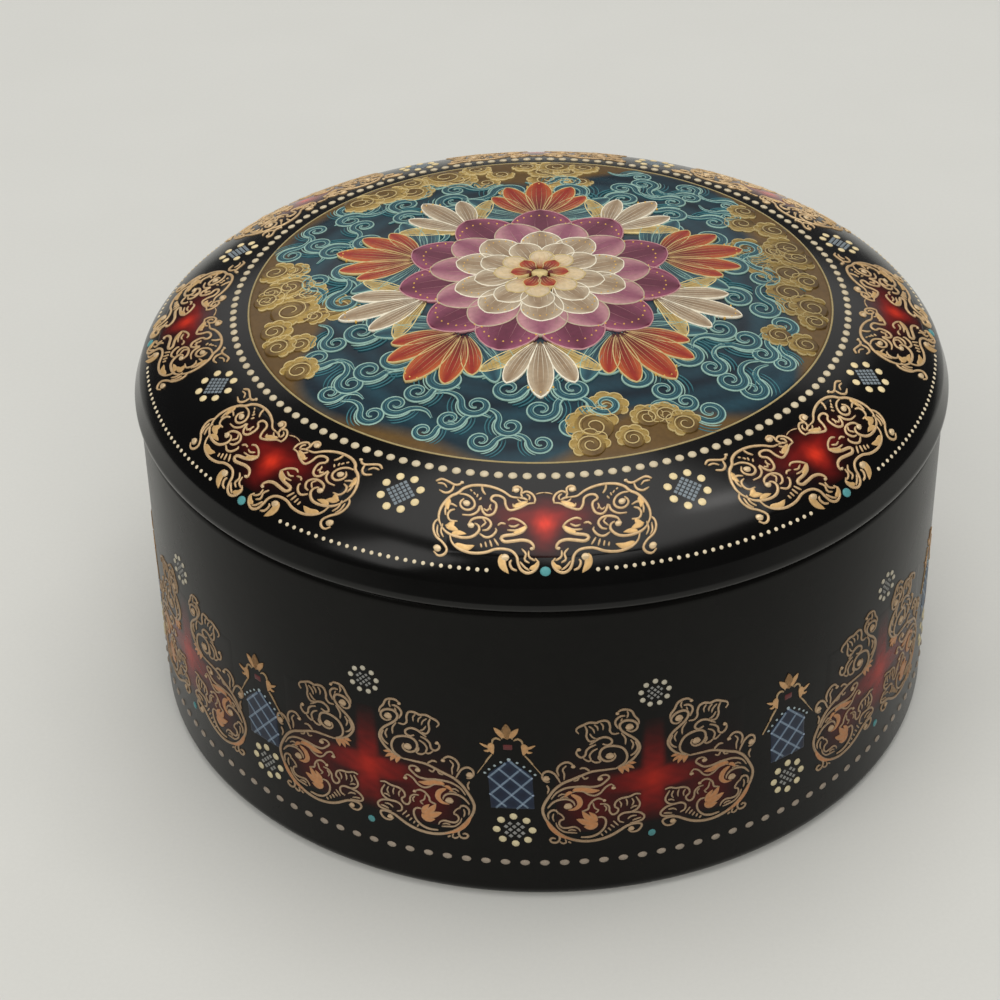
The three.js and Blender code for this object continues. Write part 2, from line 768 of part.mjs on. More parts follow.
// Winding key: two looped wings on a boss with a blind socket
function windingKey() {
  const middle = keyTableGap + keyLobeHalfHeight;
  const lobe = (side, halfLength, halfHeight, thickness) => {
    const disc = new THREE.CylinderGeometry(1, 1, thickness, rodFacets);
    disc.scale(halfLength, 1, halfHeight).translate(side * keyLobeReach, 0, middle);
    return solid(disc);
  };
  const sides = [-1, 1];
  const lobes = sides.map((s) => lobe(s, keyLobeHalfLength, keyLobeHalfHeight, keyThickness));
  const eyes = sides.map((s) => lobe(
    s, keyLobeHalfLength - keyLobeWall, keyLobeHalfHeight - keyLobeWall,
    keyThickness + cutOverrun));
  const bossTop = recessDepth - keyBossGap;
  const boss = rod(keyBossRadius, bossTop - keyBossHeight, bossTop, rodFacets);
  const socket = rod(
    arborRadius + runningFit / 4, bossTop - keySocketDepth, bossTop + cutOverrun, rodFacets);
  const neck = block(
    [-keyLobeReach + keyLobeHalfLength / 2, keyLobeReach - keyLobeHalfLength / 2],
    [-keyThickness / 2, keyThickness / 2],
    [middle - keyLobeHalfHeight / 2, middle + keyLobeHalfHeight / 2]);
  return cut(joined(boss, neck, ...cutEach(lobes, eyes)), socket);
}

function cutEach(wholes, holes) {
  return wholes.map((whole, i) => cut(whole, holes[i]));
}

// Cylinder, made along Z and then laid along X

function cylinderTube() {
  const inner = cylinderRadius - cylinderWall;
  const profile = [
    [inner, 0],
    [cylinderRadius, 0],
    [cylinderRadius, cylinderLength],
    [inner, cylinderLength],
    [inner, 0],
  ];
  const goldenTurn = Math.PI * (3 - Math.sqrt(5));
  const firstTrack = (cylinderLength - trackPitch * (trackCount - 1)) / 2;
  const pins = [];
  for (let i = 0; i < trackCount * pinsPerTrack; i += 1) {
    const height = pinHeight + joinOverlap;
    const pin = new THREE.BoxGeometry(height, pinWidth, pinWidth);
    pin.translate(cylinderRadius - joinOverlap + height / 2, 0, 0).rotateZ(i * goldenTurn);
    pin.translate(0, 0, firstTrack + trackPitch * (i % trackCount));
    pins.push(solid(pin));
  }
  return alongX(joined(turned(profile, wheelFacets), ...pins));
}

// A cap that plugs one end of the tube and rides on the arbor
function cylinderCap() {
  const outer = cylinderRadius - cylinderWall - runningFit;
  const bore = cylinderArborRadius + runningFit / 4;
  const profile = [
    [bore, 0], [outer, 0], [outer, capThickness], [bore, capThickness], [bore, 0]];
  return alongX(turned(profile, wheelFacets));
}

function cylinderArbor() {
  const start = crownPitchRadius - crownFace;
  const end = rightBearingStart + bearingThickness + seatGap;
  return alongX(rod(cylinderArborRadius, start, end));
}

function cylinderPinion() {
  return alongX(gear(
    pinionTeeth, pinionPitchRadius, pinionAddendum, pinionDedendum,
    crownFace - joinOverlap, cylinderArborRadius + runningFit / 4, -Math.PI / 2));
}

function cylinderGear() {
  return alongX(gear(
    cylinderGearTeeth, cylinderGearRadius, toothAddendum, toothDedendum,
    cylinderGearThickness, cylinderArborRadius + runningFit / 4, Math.PI));
}

// An upright with a foot; the foot runs to the given side of it
function cylinderBearing(start, footSide, screwX) {
  const footStart = footSide > 0 ? start : start + bearingThickness - bearingFootLength;
  const top = axisHeight + bearingCrown;
  const upright = block(
    [start, start + bearingThickness], [-bearingHalfWidth, bearingHalfWidth],
    [plateThickness, top]);
  const foot = block(
    [footStart, footStart + bearingFootLength], [-bearingHalfWidth, bearingHalfWidth],
    [plateThickness, plateThickness + bearingFootThickness]);
  const bore = alongX(rod(
    cylinderArborRadius + runningFit, -cutOverrun, bearingThickness + cutOverrun))
    .translate([start, 0, axisHeight]);
  const hole = smallHole(screwX, 0, 0, plateThickness + bearingFootThickness + cutOverrun);
  return cut(joined(upright, foot), bore, hole);
}

// Comb: a slanted root bar with a tooth for each track
function comb() {
  const bottom = combBlockTop;
  const top = bottom + combBaseThickness;
  const back = plateCombSide;
  const outline = [
    [cylinderStart, combTip + combLongTooth],
    [cylinderEnd, combTip + combShortTooth],
    [cylinderEnd, back],
    [cylinderStart, back],
  ];
  const firstTrack = cylinderStart + (cylinderLength - trackPitch * (trackCount - 1)) / 2;
  const teeth = Array.from({ length: trackCount }, (_, i) => {
    const x = firstTrack + trackPitch * i;
    return block(
      [x - combToothWidth / 2, x + combToothWidth / 2],
      [combTip, combTip + combLongTooth + combToothWidth],
      [axisHeight - combToothThickness / 2, axisHeight + combToothThickness / 2]);
  });
  const holes = combScrewX.map((x) => smallHole(
    x, combScrewY, bottom - cutOverrun, top + cutOverrun));
  return cut(joined(slab(outline, bottom, top), ...teeth), ...holes);
}

// Governor frame: two posts, a roof over the worm and a foot on each post
function governorFrame() {
  const innerPost = [innerPostEnd - framePostThickness, innerPostEnd];
  const outerPost = [outerPostStart, outerPostStart + framePostThickness];
  const wallSide = governorSide + frameWall;
  const roofSide = wormSide - frameWall;
  const footTop = plateThickness + bearingFootThickness;
  const parts = [
    block(innerPost, [wallSide - frameInnerPostWidth, wallSide], [plateThickness, frameTop]),
    block(outerPost, [wallSide - frameOuterPostWidth, wallSide], [plateThickness, frameTop]),
    block([innerPost[0], outerPost[1]], [roofSide, wallSide], [frameArmBottom, frameTop]),
    block(
      [innerPost[0] - frameFootLength, innerPost[1]], [wallSide - frameInnerPostWidth, wallSide],
      [plateThickness, footTop]),
    block(
      [outerFrameScrew[0] - frameWall, outerFrameScrew[0] + frameWall / 2 + framePostThickness / 2],
      [wallSide - joinOverlap, wallSide + frameOuterFootLength], [plateThickness, footTop]),
    block(outerPost, [wallSide - joinOverlap, wallSide + frameWall], [plateThickness, footTop]),
  ];
  const bore = alongX(rod(
    governorArborRadius + runningFit, -cutOverrun,
    outerPost[1] - innerPost[0] + cutOverrun, screwFacets))
    .translate([innerPost[0], governorSide, axisHeight]);
  const wormBore = rod(
    pivotRadius + runningFit, frameArmBottom - cutOverrun, frameTop + cutOverrun,
    screwFacets, wormWheelMiddle, wormSide);
  const holes = [innerFrameScrew, outerFrameScrew].map(([x, y]) =>
    smallHole(x, y, 0, footTop + cutOverrun));
  return cut(joined(...parts), bore, wormBore, ...holes);
}

function governorPinion() {
  const start = innerPostEnd - framePostThickness;
  const end = outerPostStart + framePostThickness;
  const arbor = rod(governorArborRadius, 0, end - start, screwFacets);
  const leaves = gear(
    governorPinionTeeth, governorPinionRadius, toothAddendum, toothDedendum,
    cylinderGearThickness, governorArborRadius - joinOverlap,
    Math.PI / governorPinionTeeth);
  return alongX(joined(arbor, leaves.translate([0, 0, cylinderGearStart - start])));
}

function governorWheel() {
  return alongX(gear(
    wormWheelTeeth, wormWheelRadius, wormWheelAddendum, wormWheelDedendum,
    wormWheelThickness, governorArborRadius + runningFit / 4, Math.PI));
}

// Worm: at rest its thread stands half a pitch above and below the wheel's level tooth
function flyWorm() {
  const halfBase = wormThreadBase / 2;
  const halfTip = wormThreadTip / 2;
  const section = [
    [-joinOverlap, -halfBase],
    [wormThreadHeight, -halfTip],
    [wormThreadHeight, halfTip],
    [-joinOverlap, halfBase],
  ];
  const thread = helixTube(section, wormRootRadius, wormPitch, wormTurns, threadSteps);
  const wheelSideTurn = 1 / 4;
  const level = axisHeight - wormPitch * (Math.ceil(wormTurns / 2) - 1 / 2 + wheelSideTurn);
  const foot = plateThickness - pivotDepth;
  return joined(
    rod(wormRootRadius, plateThickness + seatGap, frameArmBottom - seatGap, rodFacets),
    rod(pivotRadius, foot, frameTop, screwFacets),
    thread.translate([0, 0, level]));
}

function flyFan() {
  const bottom = plateThickness + vaneLift;
  const top = bottom + vaneHeight;
  const hub = rod(vaneHubRadius, bottom, top, rodFacets);
  const vane = block([-vaneRadius, vaneRadius], [-vaneThickness / 2, vaneThickness / 2],
    [bottom, top]);
  const bore = rod(
    wormRootRadius + runningFit / 4, bottom - cutOverrun, top + cutOverrun, rodFacets);
  return cut(joined(hub, vane), bore);
}

// Stop

function stopPin() {
  const bottom = stopSocketFloor + stopPinFootGap;
  const shaft = rod(stopPinRadius, bottom, stopPinTop);
  const collar = rod(stopCollarRadius, stopCollarBottom, stopCollarBottom + stopCollarHeight);
  return joined(shaft, collar);
}

function stopFinger() {
  const bottom = stopCollarBottom + stopCollarHeight;
  const top = bottom + stopWireWidth;
  const half = stopWireWidth / 2;
  const tipSide = wormSide - vaneRadius - seatGap - half - stopY;
  const eye = rod(stopCollarRadius, bottom, top);
  const arm = block([-half, half], [stopPinRadius, tipSide + half], [bottom, top]);
  const tip = block([-half, half], [tipSide - half, tipSide + half], [stopFingerTip, top]);
  const hole = rod(stopPinRadius + runningFit / 4, bottom - cutOverrun, top + cutOverrun);
  return cut(joined(eye, arm, tip), hole);
}

function stopPinSpring() {
  const { meanRadius, wireRadius, curls, endGap } = stopSpring;
  const bottom = stopBossTop + endGap + wireRadius;
  const rise = stopCollarRise - 2 * (endGap + wireRadius);
  const pitch = rise / curls;
  const section = arc([0, 0], wireRadius, 0, 2 * Math.PI, curlSides).slice(1);
  const points = Array.from({ length: curls * curlSteps + 1 }, (_, i) => {
    const turn = 2 * Math.PI * i / curlSteps;
    return new THREE.Vector3(
      meanRadius * Math.cos(turn), meanRadius * Math.sin(turn), pitch * i / curlSteps);
  });
  const gap = leastGap(points, curlSteps, 2 * wireRadius);
  console.log(`stop spring: least gap between curls ${gap.toFixed(3)} mm`);
  return helixTube(section, meanRadius, pitch, curls, curlSteps).translate([0, 0, bottom]);
}

// The box as a scene: porcelain and tray at the origin, the movement in its own group on the floor

const musicBox = new THREE.Group();
musicBox.add(
  piece('box_body', 'satinGlaze', boxBody()),
  piece('lid', 'blackGlaze', lid()),
  piece('inner_tray', 'darkPlastic', innerTray()),
  piece('winding_key', 'brass', windingKey()),
);

const floorScrewTop = floorTop + plateThickness + screwBossHeight - floorScrewTipGap;
Object.entries(floorScrewPlaces).forEach(([where, [x, y]]) => {
  const seat = recessDepth - washerThickness;
  const length = floorScrewTop - seat;
  const screw = screwUp(floorScrewRadius, floorScrewHeadRadius, floorScrewHeadHeight, length);
  const washer = cut(
    rod(washerRadius, 0, washerThickness, rodFacets),
    rod(floorScrewRadius + screwFit, -cutOverrun, washerThickness + cutOverrun, rodFacets));
  musicBox.add(
    place(piece(`floor_screw_${where}`, 'steel', screw), x, y, seat),
    place(piece(`floor_washer_${where}`, 'fibre', washer), x, y, seat),
  );
});

const movement = place(new THREE.Group(), 0, 0, floorTop);
musicBox.add(movement);

movement.add(
  piece('bedplate', 'castZinc', bedplate()),
  piece('spring_cup', 'steel', springCup()),
  piece('mainspring', 'springSteel', mainspring()),
  piece('spring_arbor', 'steel', springArbor()),
  piece('spring_gear', 'brass', springGear()),
  piece('ratchet_wheel', 'steel', ratchetWheel()),
  piece('click', 'steel', click()),
  place(piece('click_screw', 'steel', clickScrew()), ...clickPivot, 0),
  piece('click_spring', 'springSteel', clickSpring()),
  piece('arbor_clip', 'springSteel', arborClip()),
  piece('cylinder_bearing_left', 'steel', cylinderBearing(leftBearingStart, 1, leftBearingScrewX)),
  piece(
    'cylinder_bearing_right', 'steel',
    cylinderBearing(rightBearingStart, -1, rightBearingScrewX)),
  piece('comb', 'steel', comb()),
  piece('governor_frame', 'steel', governorFrame()),
);

const cylinderAxis = place(new THREE.Group(), 0, 0, axisHeight);
movement.add(cylinderAxis);
cylinderAxis.add(
  place(piece('cylinder_tube', 'brass', cylinderTube()), cylinderStart, 0, 0),
  place(piece('cylinder_cap_left', 'brass', cylinderCap()), cylinderStart, 0, 0),
  place(piece('cylinder_cap_right', 'brass', cylinderCap()), cylinderEnd - capThickness, 0, 0),
  piece('cylinder_arbor', 'steel', cylinderArbor()),
  place(
    piece('cylinder_pinion', 'brass', cylinderPinion()),
    crownInner + joinOverlap / 2, 0, 0),
  place(piece('cylinder_gear', 'brass', cylinderGear()), cylinderGearStart, 0, 0),
);

const governorAxis = place(new THREE.Group(), 0, governorSide, axisHeight);
movement.add(governorAxis);
governorAxis.add(
  place(
    piece('governor_pinion', 'steel', governorPinion()), innerPostEnd - framePostThickness, 0, 0),
  place(piece('governor_wheel', 'nylon', governorWheel()), wormWheelStart, 0, 0),
);
movement.add(
  place(piece('fly_worm', 'steel', flyWorm()), wormWheelMiddle, wormSide, 0),
  place(piece('fly_fan', 'nylon', flyFan()), wormWheelMiddle, wormSide, 0),
  place(piece('stop_pin', 'brass', stopPin()), stopX, stopY, 0),
  place(piece('stop_finger', 'springSteel', stopFinger()), stopX, stopY, 0),
  place(piece('stop_pin_spring', 'springSteel', stopPinSpring()), stopX, stopY, 0),
);

const footTop = plateThickness + bearingFootThickness;
const plateScrews = {
  bearing_screw_left: [leftBearingScrewX, 0],
  bearing_screw_right: [rightBearingScrewX, 0],
  governor_screw_inner: innerFrameScrew,
  governor_screw_outer: outerFrameScrew,
};
Object.entries(plateScrews).forEach(([name, [x, y]]) => {
  movement.add(place(piece(name, 'steel', smallScrew(foldedScrewGrip)), x, y, footTop));
});
combScrewX.forEach((x, i) => {
  const name = ['comb_screw_left', 'comb_screw_right'][i];
  const grip = combBaseThickness + smallScrewGrip - seatGap;
  movement.add(place(
    piece(name, 'steel', smallScrew(grip)), x, combScrewY, combBlockTop + combBaseThickness));
});

export default musicBox;
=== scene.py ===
# %% [markdown]
# # A black-glazed porcelain music box
#
# The box is a round drum with a lift-off domed lid. Both are black porcelain with raised gold
# scrollwork, cream dots, blue lattice shields and warm red enamel. The construction comes
# packed from the CAD model, and this script dresses it: smooth porcelain, ornament and finishes.

# %% Load the fixed frame
import json
import math

import bpy
import numpy as np
from mathutils import Matrix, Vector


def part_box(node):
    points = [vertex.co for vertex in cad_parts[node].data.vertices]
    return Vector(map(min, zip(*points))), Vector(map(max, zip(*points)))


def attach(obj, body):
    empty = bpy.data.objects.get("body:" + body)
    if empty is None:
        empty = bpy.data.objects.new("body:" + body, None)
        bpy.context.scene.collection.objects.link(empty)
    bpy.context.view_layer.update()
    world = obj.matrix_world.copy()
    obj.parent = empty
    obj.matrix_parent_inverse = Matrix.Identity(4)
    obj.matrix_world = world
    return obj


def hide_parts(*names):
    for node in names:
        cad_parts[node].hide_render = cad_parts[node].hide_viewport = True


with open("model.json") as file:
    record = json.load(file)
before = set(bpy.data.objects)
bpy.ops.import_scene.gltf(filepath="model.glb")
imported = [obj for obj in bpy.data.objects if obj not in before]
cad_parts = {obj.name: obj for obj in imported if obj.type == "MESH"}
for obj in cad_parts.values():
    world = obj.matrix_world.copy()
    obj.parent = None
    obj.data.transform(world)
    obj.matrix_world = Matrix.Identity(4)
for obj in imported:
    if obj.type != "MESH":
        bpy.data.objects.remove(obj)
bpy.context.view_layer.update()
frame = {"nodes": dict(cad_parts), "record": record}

print("CAD nodes:", len(frame["nodes"]))

# %% [markdown]
# ## Measures
#
# Lengths are millimetres here, as a potter would give them, and become metres only where a
# mesh is made. The drum's and the lid's main sizes are read from the frame, so a change of the
# model carries over. What the frame doesn't say, such as the dome's curve, is written here.

# %% Sizes of the drum and the lid
MM = 0.001


def corners(node):
    """The lowest and highest corner of a CAD node, in millimetres."""
    low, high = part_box(node)
    return np.array(low) / MM, np.array(high) / MM


body_radius, _, body_height = corners("box_body")[1]
lid_radius, _, lid_top = corners("lid")[1]
flange_bottom = corners("lid")[0][2]
tray_bottom = corners("inner_tray")[0][2]
rim_height = 0.8
dome_power = 2.4
lid_edge_round = 0.7
rim_lean = math.radians(20)
seat_round = 1.2
foot_round = 1.8
wall = 4.0
ledge_width = 1.0
tray_below_ledge = 1.0
foot_ring = 6.0
mouth_radius = body_radius - wall
well_radius = mouth_radius - ledge_width
ledge_height = tray_bottom + tray_below_ledge
recess_radius = body_radius - foot_ring
recess_depth = 11.0
floor_top = 14.5
key_hole_radius = 4.0
flange_radius = mouth_radius - 0.6
flange_inner = flange_radius - 3.4
print("drum", body_radius, "x", body_height, "lid", lid_radius, "top", round(lid_top, 2))

# %% [markdown]
# ## From arrays to a mesh
#
# Every new piece is a surface worked out as whole numpy arrays. A grid of points becomes quads
# by index arithmetic, with no loop over its points, and `foreach_set` hands the arrays to
# Blender at once. That keeps thousands of small raised shapes quick to make.

# %% Mesh helpers
no_tris = np.zeros((0, 3), int)


def make_piece(name, points, quads, tris=no_tris):
    """An object from points in mm (N, 3), quads (Q, 4) and triangles (T, 3)."""
    mesh = bpy.data.meshes.new(name)
    mesh.vertices.add(len(points))
    mesh.vertices.foreach_set("co", (np.asarray(points) * MM).astype(np.float32).ravel())
    corners_all = np.concatenate([quads.ravel(), tris.ravel()])
    sizes = np.concatenate([np.full(len(quads), 4), np.full(len(tris), 3)])
    mesh.loops.add(len(corners_all))
    mesh.loops.foreach_set("vertex_index", corners_all.astype(np.int32))
    mesh.polygons.add(len(sizes))
    starts = np.concatenate([[0], np.cumsum(sizes)[:-1]])
    mesh.polygons.foreach_set("loop_start", starts.astype(np.int32))
    mesh.polygons.foreach_set("use_smooth", np.full(len(sizes), True))
    mesh.update(calc_edges=True)
    piece = bpy.data.objects.new(name, mesh)
    bpy.context.scene.collection.objects.link(piece)
    print(name, len(sizes), "faces")
    return piece


def grid_quads(rows, columns, wrap_rows=False, wrap_columns=False):
    """Quads between neighbouring points of a rows x columns grid, optionally closed round."""
    i = np.arange(rows if wrap_rows else rows - 1)
    j = np.arange(columns if wrap_columns else columns - 1)
    i, j = np.meshgrid(i, j, indexing="ij")
    down = (i + 1) % rows
    right = (j + 1) % columns
    quads = np.stack([i * columns + j, i * columns + right, down * columns + right,
                      down * columns + j], axis=-1)
    return quads.reshape(-1, 4)


def fan(start, count, tip, turned_over=False):
    """Triangles from a ring of points, numbered from start, to one tip point."""
    j = np.arange(count)
    after = (j + 1) % count
    first, second = (after, j) if turned_over else (j, after)
    return np.stack([start + first, start + second, np.full(count, tip)], 1)


def repeat_shape(points, quads, tris, name):
    """One piece from many equal shapes: points (shapes, P, 3), faces of a single shape."""
    shapes, per_shape = points.shape[:2]
    shift = (np.arange(shapes) * per_shape)[:, None, None]
    all_quads = (quads[None] + shift).reshape(-1, 4)
    all_tris = (tris[None] + shift).reshape(-1, 3)
    return make_piece(name, points.reshape(-1, 3), all_quads, all_tris)


def paint(piece, colours):
    """Stores one linear colour per point as "tint", which a material reads as an attribute."""
    layer = piece.data.color_attributes.new("tint", "FLOAT_COLOR", "POINT")
    full = np.concatenate([colours, np.ones((len(colours), 1))], axis=1)
    layer.data.foreach_set("color", full.astype(np.float32).ravel())
    return piece


def linear(red, green, blue):
    """A colour as read off a screen, 0 to 255, as the linear values that shading uses."""
    c = np.array([red, green, blue], float) / 255
    return np.where(c <= 0.04045, c / 12.92, ((c + 0.055) / 1.055) ** 2.4)


# %% [markdown]
# ## Profiles
#
# A potter turns a lid and a drum from a profile. The dome's profile is a superellipse, which is
# flatter in the middle and rounder at the shoulder than an ellipse. It is given as a table of
# points along its length, so that ornament can be laid out in true millimetres along the curve.

# %% The profile of the lid, from its middle down to the lower edge of its rim


def arc_points(middle, radius, start, end, count):
    """Points on an arc round middle, from one angle to another."""
    turn = np.linspace(start, end, count)
    return np.stack([middle[0] + radius * np.cos(turn), middle[1] + radius * np.sin(turn)], 1)


def dome_curve(radius, edge, rise, count):
    """Superellipse: radius times cos(t)^(2/n) out, edge plus rise times sin(t) up."""
    turn = np.pi / 2 * (1 - np.linspace(0, 1, count) ** 0.8)
    out = radius * np.cos(turn) ** (2 / dome_power)
    out[0] = 0.0
    return np.stack([out, edge + rise * np.sin(turn)], 1)


def along(profile):
    """Arc length of each point of a profile from its start."""
    steps = np.linalg.norm(np.diff(profile, axis=0), axis=1)
    return np.concatenate([[0], np.cumsum(steps)])


dome_edge = body_height + rim_height
rim_points = 24
outer_dome = dome_curve(lid_radius, dome_edge, lid_top - dome_edge, 1200)
above_rim = np.maximum(outer_dome[:, 1] - dome_edge - 0.2, 0)
outer_dome[:, 0] = np.minimum(outer_dome[:, 0], lid_radius - above_rim * math.tan(rim_lean))
lid_curve = np.concatenate([
    outer_dome,
    arc_points((lid_radius - lid_edge_round, body_height + lid_edge_round), lid_edge_round,
               0, -np.pi / 2, rim_points),
])
lid_length = along(lid_curve)
keep = np.concatenate([[True], np.diff(lid_length) > 1e-9])
lid_curve = lid_curve[keep]
lid_length = lid_length[keep]
print("lid profile length", round(lid_length[-1], 2), "mm")

# %% [markdown]
# ## Charts
#
# Ornament is drawn flat, in millimetres to the right and up, and then wrapped on the porcelain.
# `on_lid` and `on_drum` give a point in space from an azimuth, a place along the profile and a
# height above the glaze. A chart is a drawing board that stands at one such place and passes
# its points on to them, so a drawing needs to know nothing of the dome's curve. Azimuth 0 faces
# the viewer and grows to the right.

# %% Charts of the lid and the drum
# Height of the drum's red crosses above the table
cross_level = 17.5


def slope_of(curve, length):
    """Outward normals (out, up) along a profile that runs from the middle outwards and down."""
    tangent = np.gradient(curve, length, axis=0)
    tangent /= np.linalg.norm(tangent, axis=1, keepdims=True)
    return np.stack([-tangent[:, 1], tangent[:, 0]], 1)


lid_normal = slope_of(lid_curve, lid_length)


def on_lid(azimuth, length, height):
    """A point on the lid: azimuth in radians, mm along the profile, mm above the glaze."""
    out = np.interp(length, lid_length, lid_curve[:, 0])
    up = np.interp(length, lid_length, lid_curve[:, 1])
    normal_out = np.interp(length, lid_length, lid_normal[:, 0])
    normal_up = np.interp(length, lid_length, lid_normal[:, 1])
    far = out + height * normal_out
    return np.stack([far * np.sin(azimuth), -far * np.cos(azimuth), up + height * normal_up], -1)


def on_drum(azimuth, level, height):
    """A point on the drum's wall: azimuth in radians, mm above the table, mm off the glaze."""
    far = body_radius + height
    return np.stack(np.broadcast_arrays(
        far * np.sin(azimuth), -far * np.cos(azimuth), level + 0 * far), -1)


def length_at_radius(radius):
    """Where along the lid's profile its dome has a given radius."""
    top = np.argmax(lid_curve[:, 0] >= lid_radius - 1e-6)
    return np.interp(radius, lid_curve[:top, 0], lid_length[:top])


def lid_chart(azimuth_deg, radius):
    """A flat drawing board on the lid: x to the right, y towards the lid's middle."""
    middle = length_at_radius(radius)

    def place(x, y, height):
        length = middle - y
        out = np.interp(length, lid_length, lid_curve[:, 0])
        return on_lid(np.radians(azimuth_deg) + x / np.maximum(out, 1.0), length, height)

    return place


def drum_chart(azimuth_deg, level, lean=0.0):
    """A flat drawing board on the drum: x to the right, y up, its upright leaning to the left."""

    def place(x, y, height):
        shift = x - lean * (level + y - cross_level)
        return on_drum(np.radians(azimuth_deg) + shift / body_radius, level + y, height)

    return place


print("medallion edge lies", round(float(length_at_radius(35.9)), 2), "mm along the dome")

# %% [markdown]
# ## Three kinds of raised shape
#
# Enamel and gilding stand a tenth of a millimetre proud of the glaze. Three shapes cover all of
# it: a bead (a low dome), a stroke (a band along a curve, thinner at its ends) and a field (a
# thin painted sheet). Each is closed underneath, where it sinks a little into the glaze.

# %% Beads
# How deep the edges of paint sink into the glaze, and how high a thin coat stands on it
SINK = 0.04
THIN_COAT = 0.02


def bead_shape(sides=12):
    """A unit dome: three rings and a top point, closed below by a fan round a low middle."""
    turn = np.linspace(0, 2 * np.pi, sides, endpoint=False)
    rings = [(1.0, 0.0), (0.86, 0.6), (0.48, 0.92)]
    ring_points = [np.stack([r * np.cos(turn), r * np.sin(turn), np.full(sides, h)], 1)
                   for r, h in rings]
    points = np.concatenate(ring_points + [[[0, 0, 1.0], [0, 0, 0.0]]])
    quads = grid_quads(3, sides, wrap_columns=True)
    tris = np.concatenate([fan(2 * sides, sides, 3 * sides),
                           fan(0, sides, 3 * sides + 1, turned_over=True)])
    return points, quads, tris


def beads(name, spots, colour, sides=12):
    """Beads of one colour at spots, each (chart, x, y, half width, half height, rise) in mm."""
    shape, quads, tris = bead_shape(sides)
    points = np.stack([
        chart(x + shape[:, 0] * wide, y + shape[:, 1] * tall, shape[:, 2] * (rise + SINK) - SINK)
        for chart, x, y, wide, tall, rise in spots])
    made = repeat_shape(points, quads, tris, name)
    return paint(made, np.tile(colour, (len(spots) * len(shape), 1)))


# %% [markdown]
# ## Brush work
#
# The gilder's lines and leaves are ribbons of paint. A curve object with a bevel could draw one,
# but not let it swell, taper and change colour along its length. So a section of a few points is
# swept along a smooth path by array arithmetic, and its half width follows a formula.

# %% Smooth paths and their widths


def smooth_path(points, spacing=0.28):
    """A Catmull-Rom curve through points, resampled at even steps of about the spacing."""
    p = np.asarray(points, float)
    ends = np.vstack([2 * p[0] - p[1], p, 2 * p[-1] - p[-2]])
    t = np.linspace(0, 1, 16, endpoint=False)[:, None, None]
    a, b, c, d = ends[:-3], ends[1:-2], ends[2:-1], ends[3:]
    curve = 0.5 * (2 * b + (c - a) * t + (2 * a - 5 * b + 4 * c - d) * t ** 2
                   + (3 * b - 3 * c + d - a) * t ** 3)
    dense = np.concatenate([curve.transpose(1, 0, 2).reshape(-1, 2), p[-1:]])
    length = along(dense)
    even = np.linspace(0, length[-1], max(5, int(length[-1] / spacing) + 1))
    return np.stack([np.interp(even, length, dense[:, k]) for k in (0, 1)], 1)


def tapered(count, width, start=0.35, end=0.35, ramp=0.25):
    """Half widths along a stroke: full in the middle, and a share of that at each end."""
    t = np.linspace(0, 1, count)
    rise = start + (1 - start) * np.sin(np.pi / 2 * np.minimum(1, t / ramp))
    fall = end + (1 - end) * np.sin(np.pi / 2 * np.minimum(1, (1 - t) / ramp))
    return width / 2 * np.minimum(rise, fall)


def leaf_width(count, width, fullest=0.4, tip=0.04):
    """Half widths of a leaf: nothing at both ends, widest at a share of its length."""
    t = np.linspace(0, 1, count)
    bent = t ** (np.log(0.5) / np.log(fullest))
    return width / 2 * (tip + (1 - tip) * np.sin(np.pi * bent) ** 0.8)


def sideways(path):
    """Unit vectors across a path, to the left of the way it runs."""
    tangent = np.gradient(path, axis=0)
    tangent /= np.maximum(np.linalg.norm(tangent, axis=1, keepdims=True), 1e-9)
    return np.stack([-tangent[:, 1], tangent[:, 0]], 1)


# %% The brush


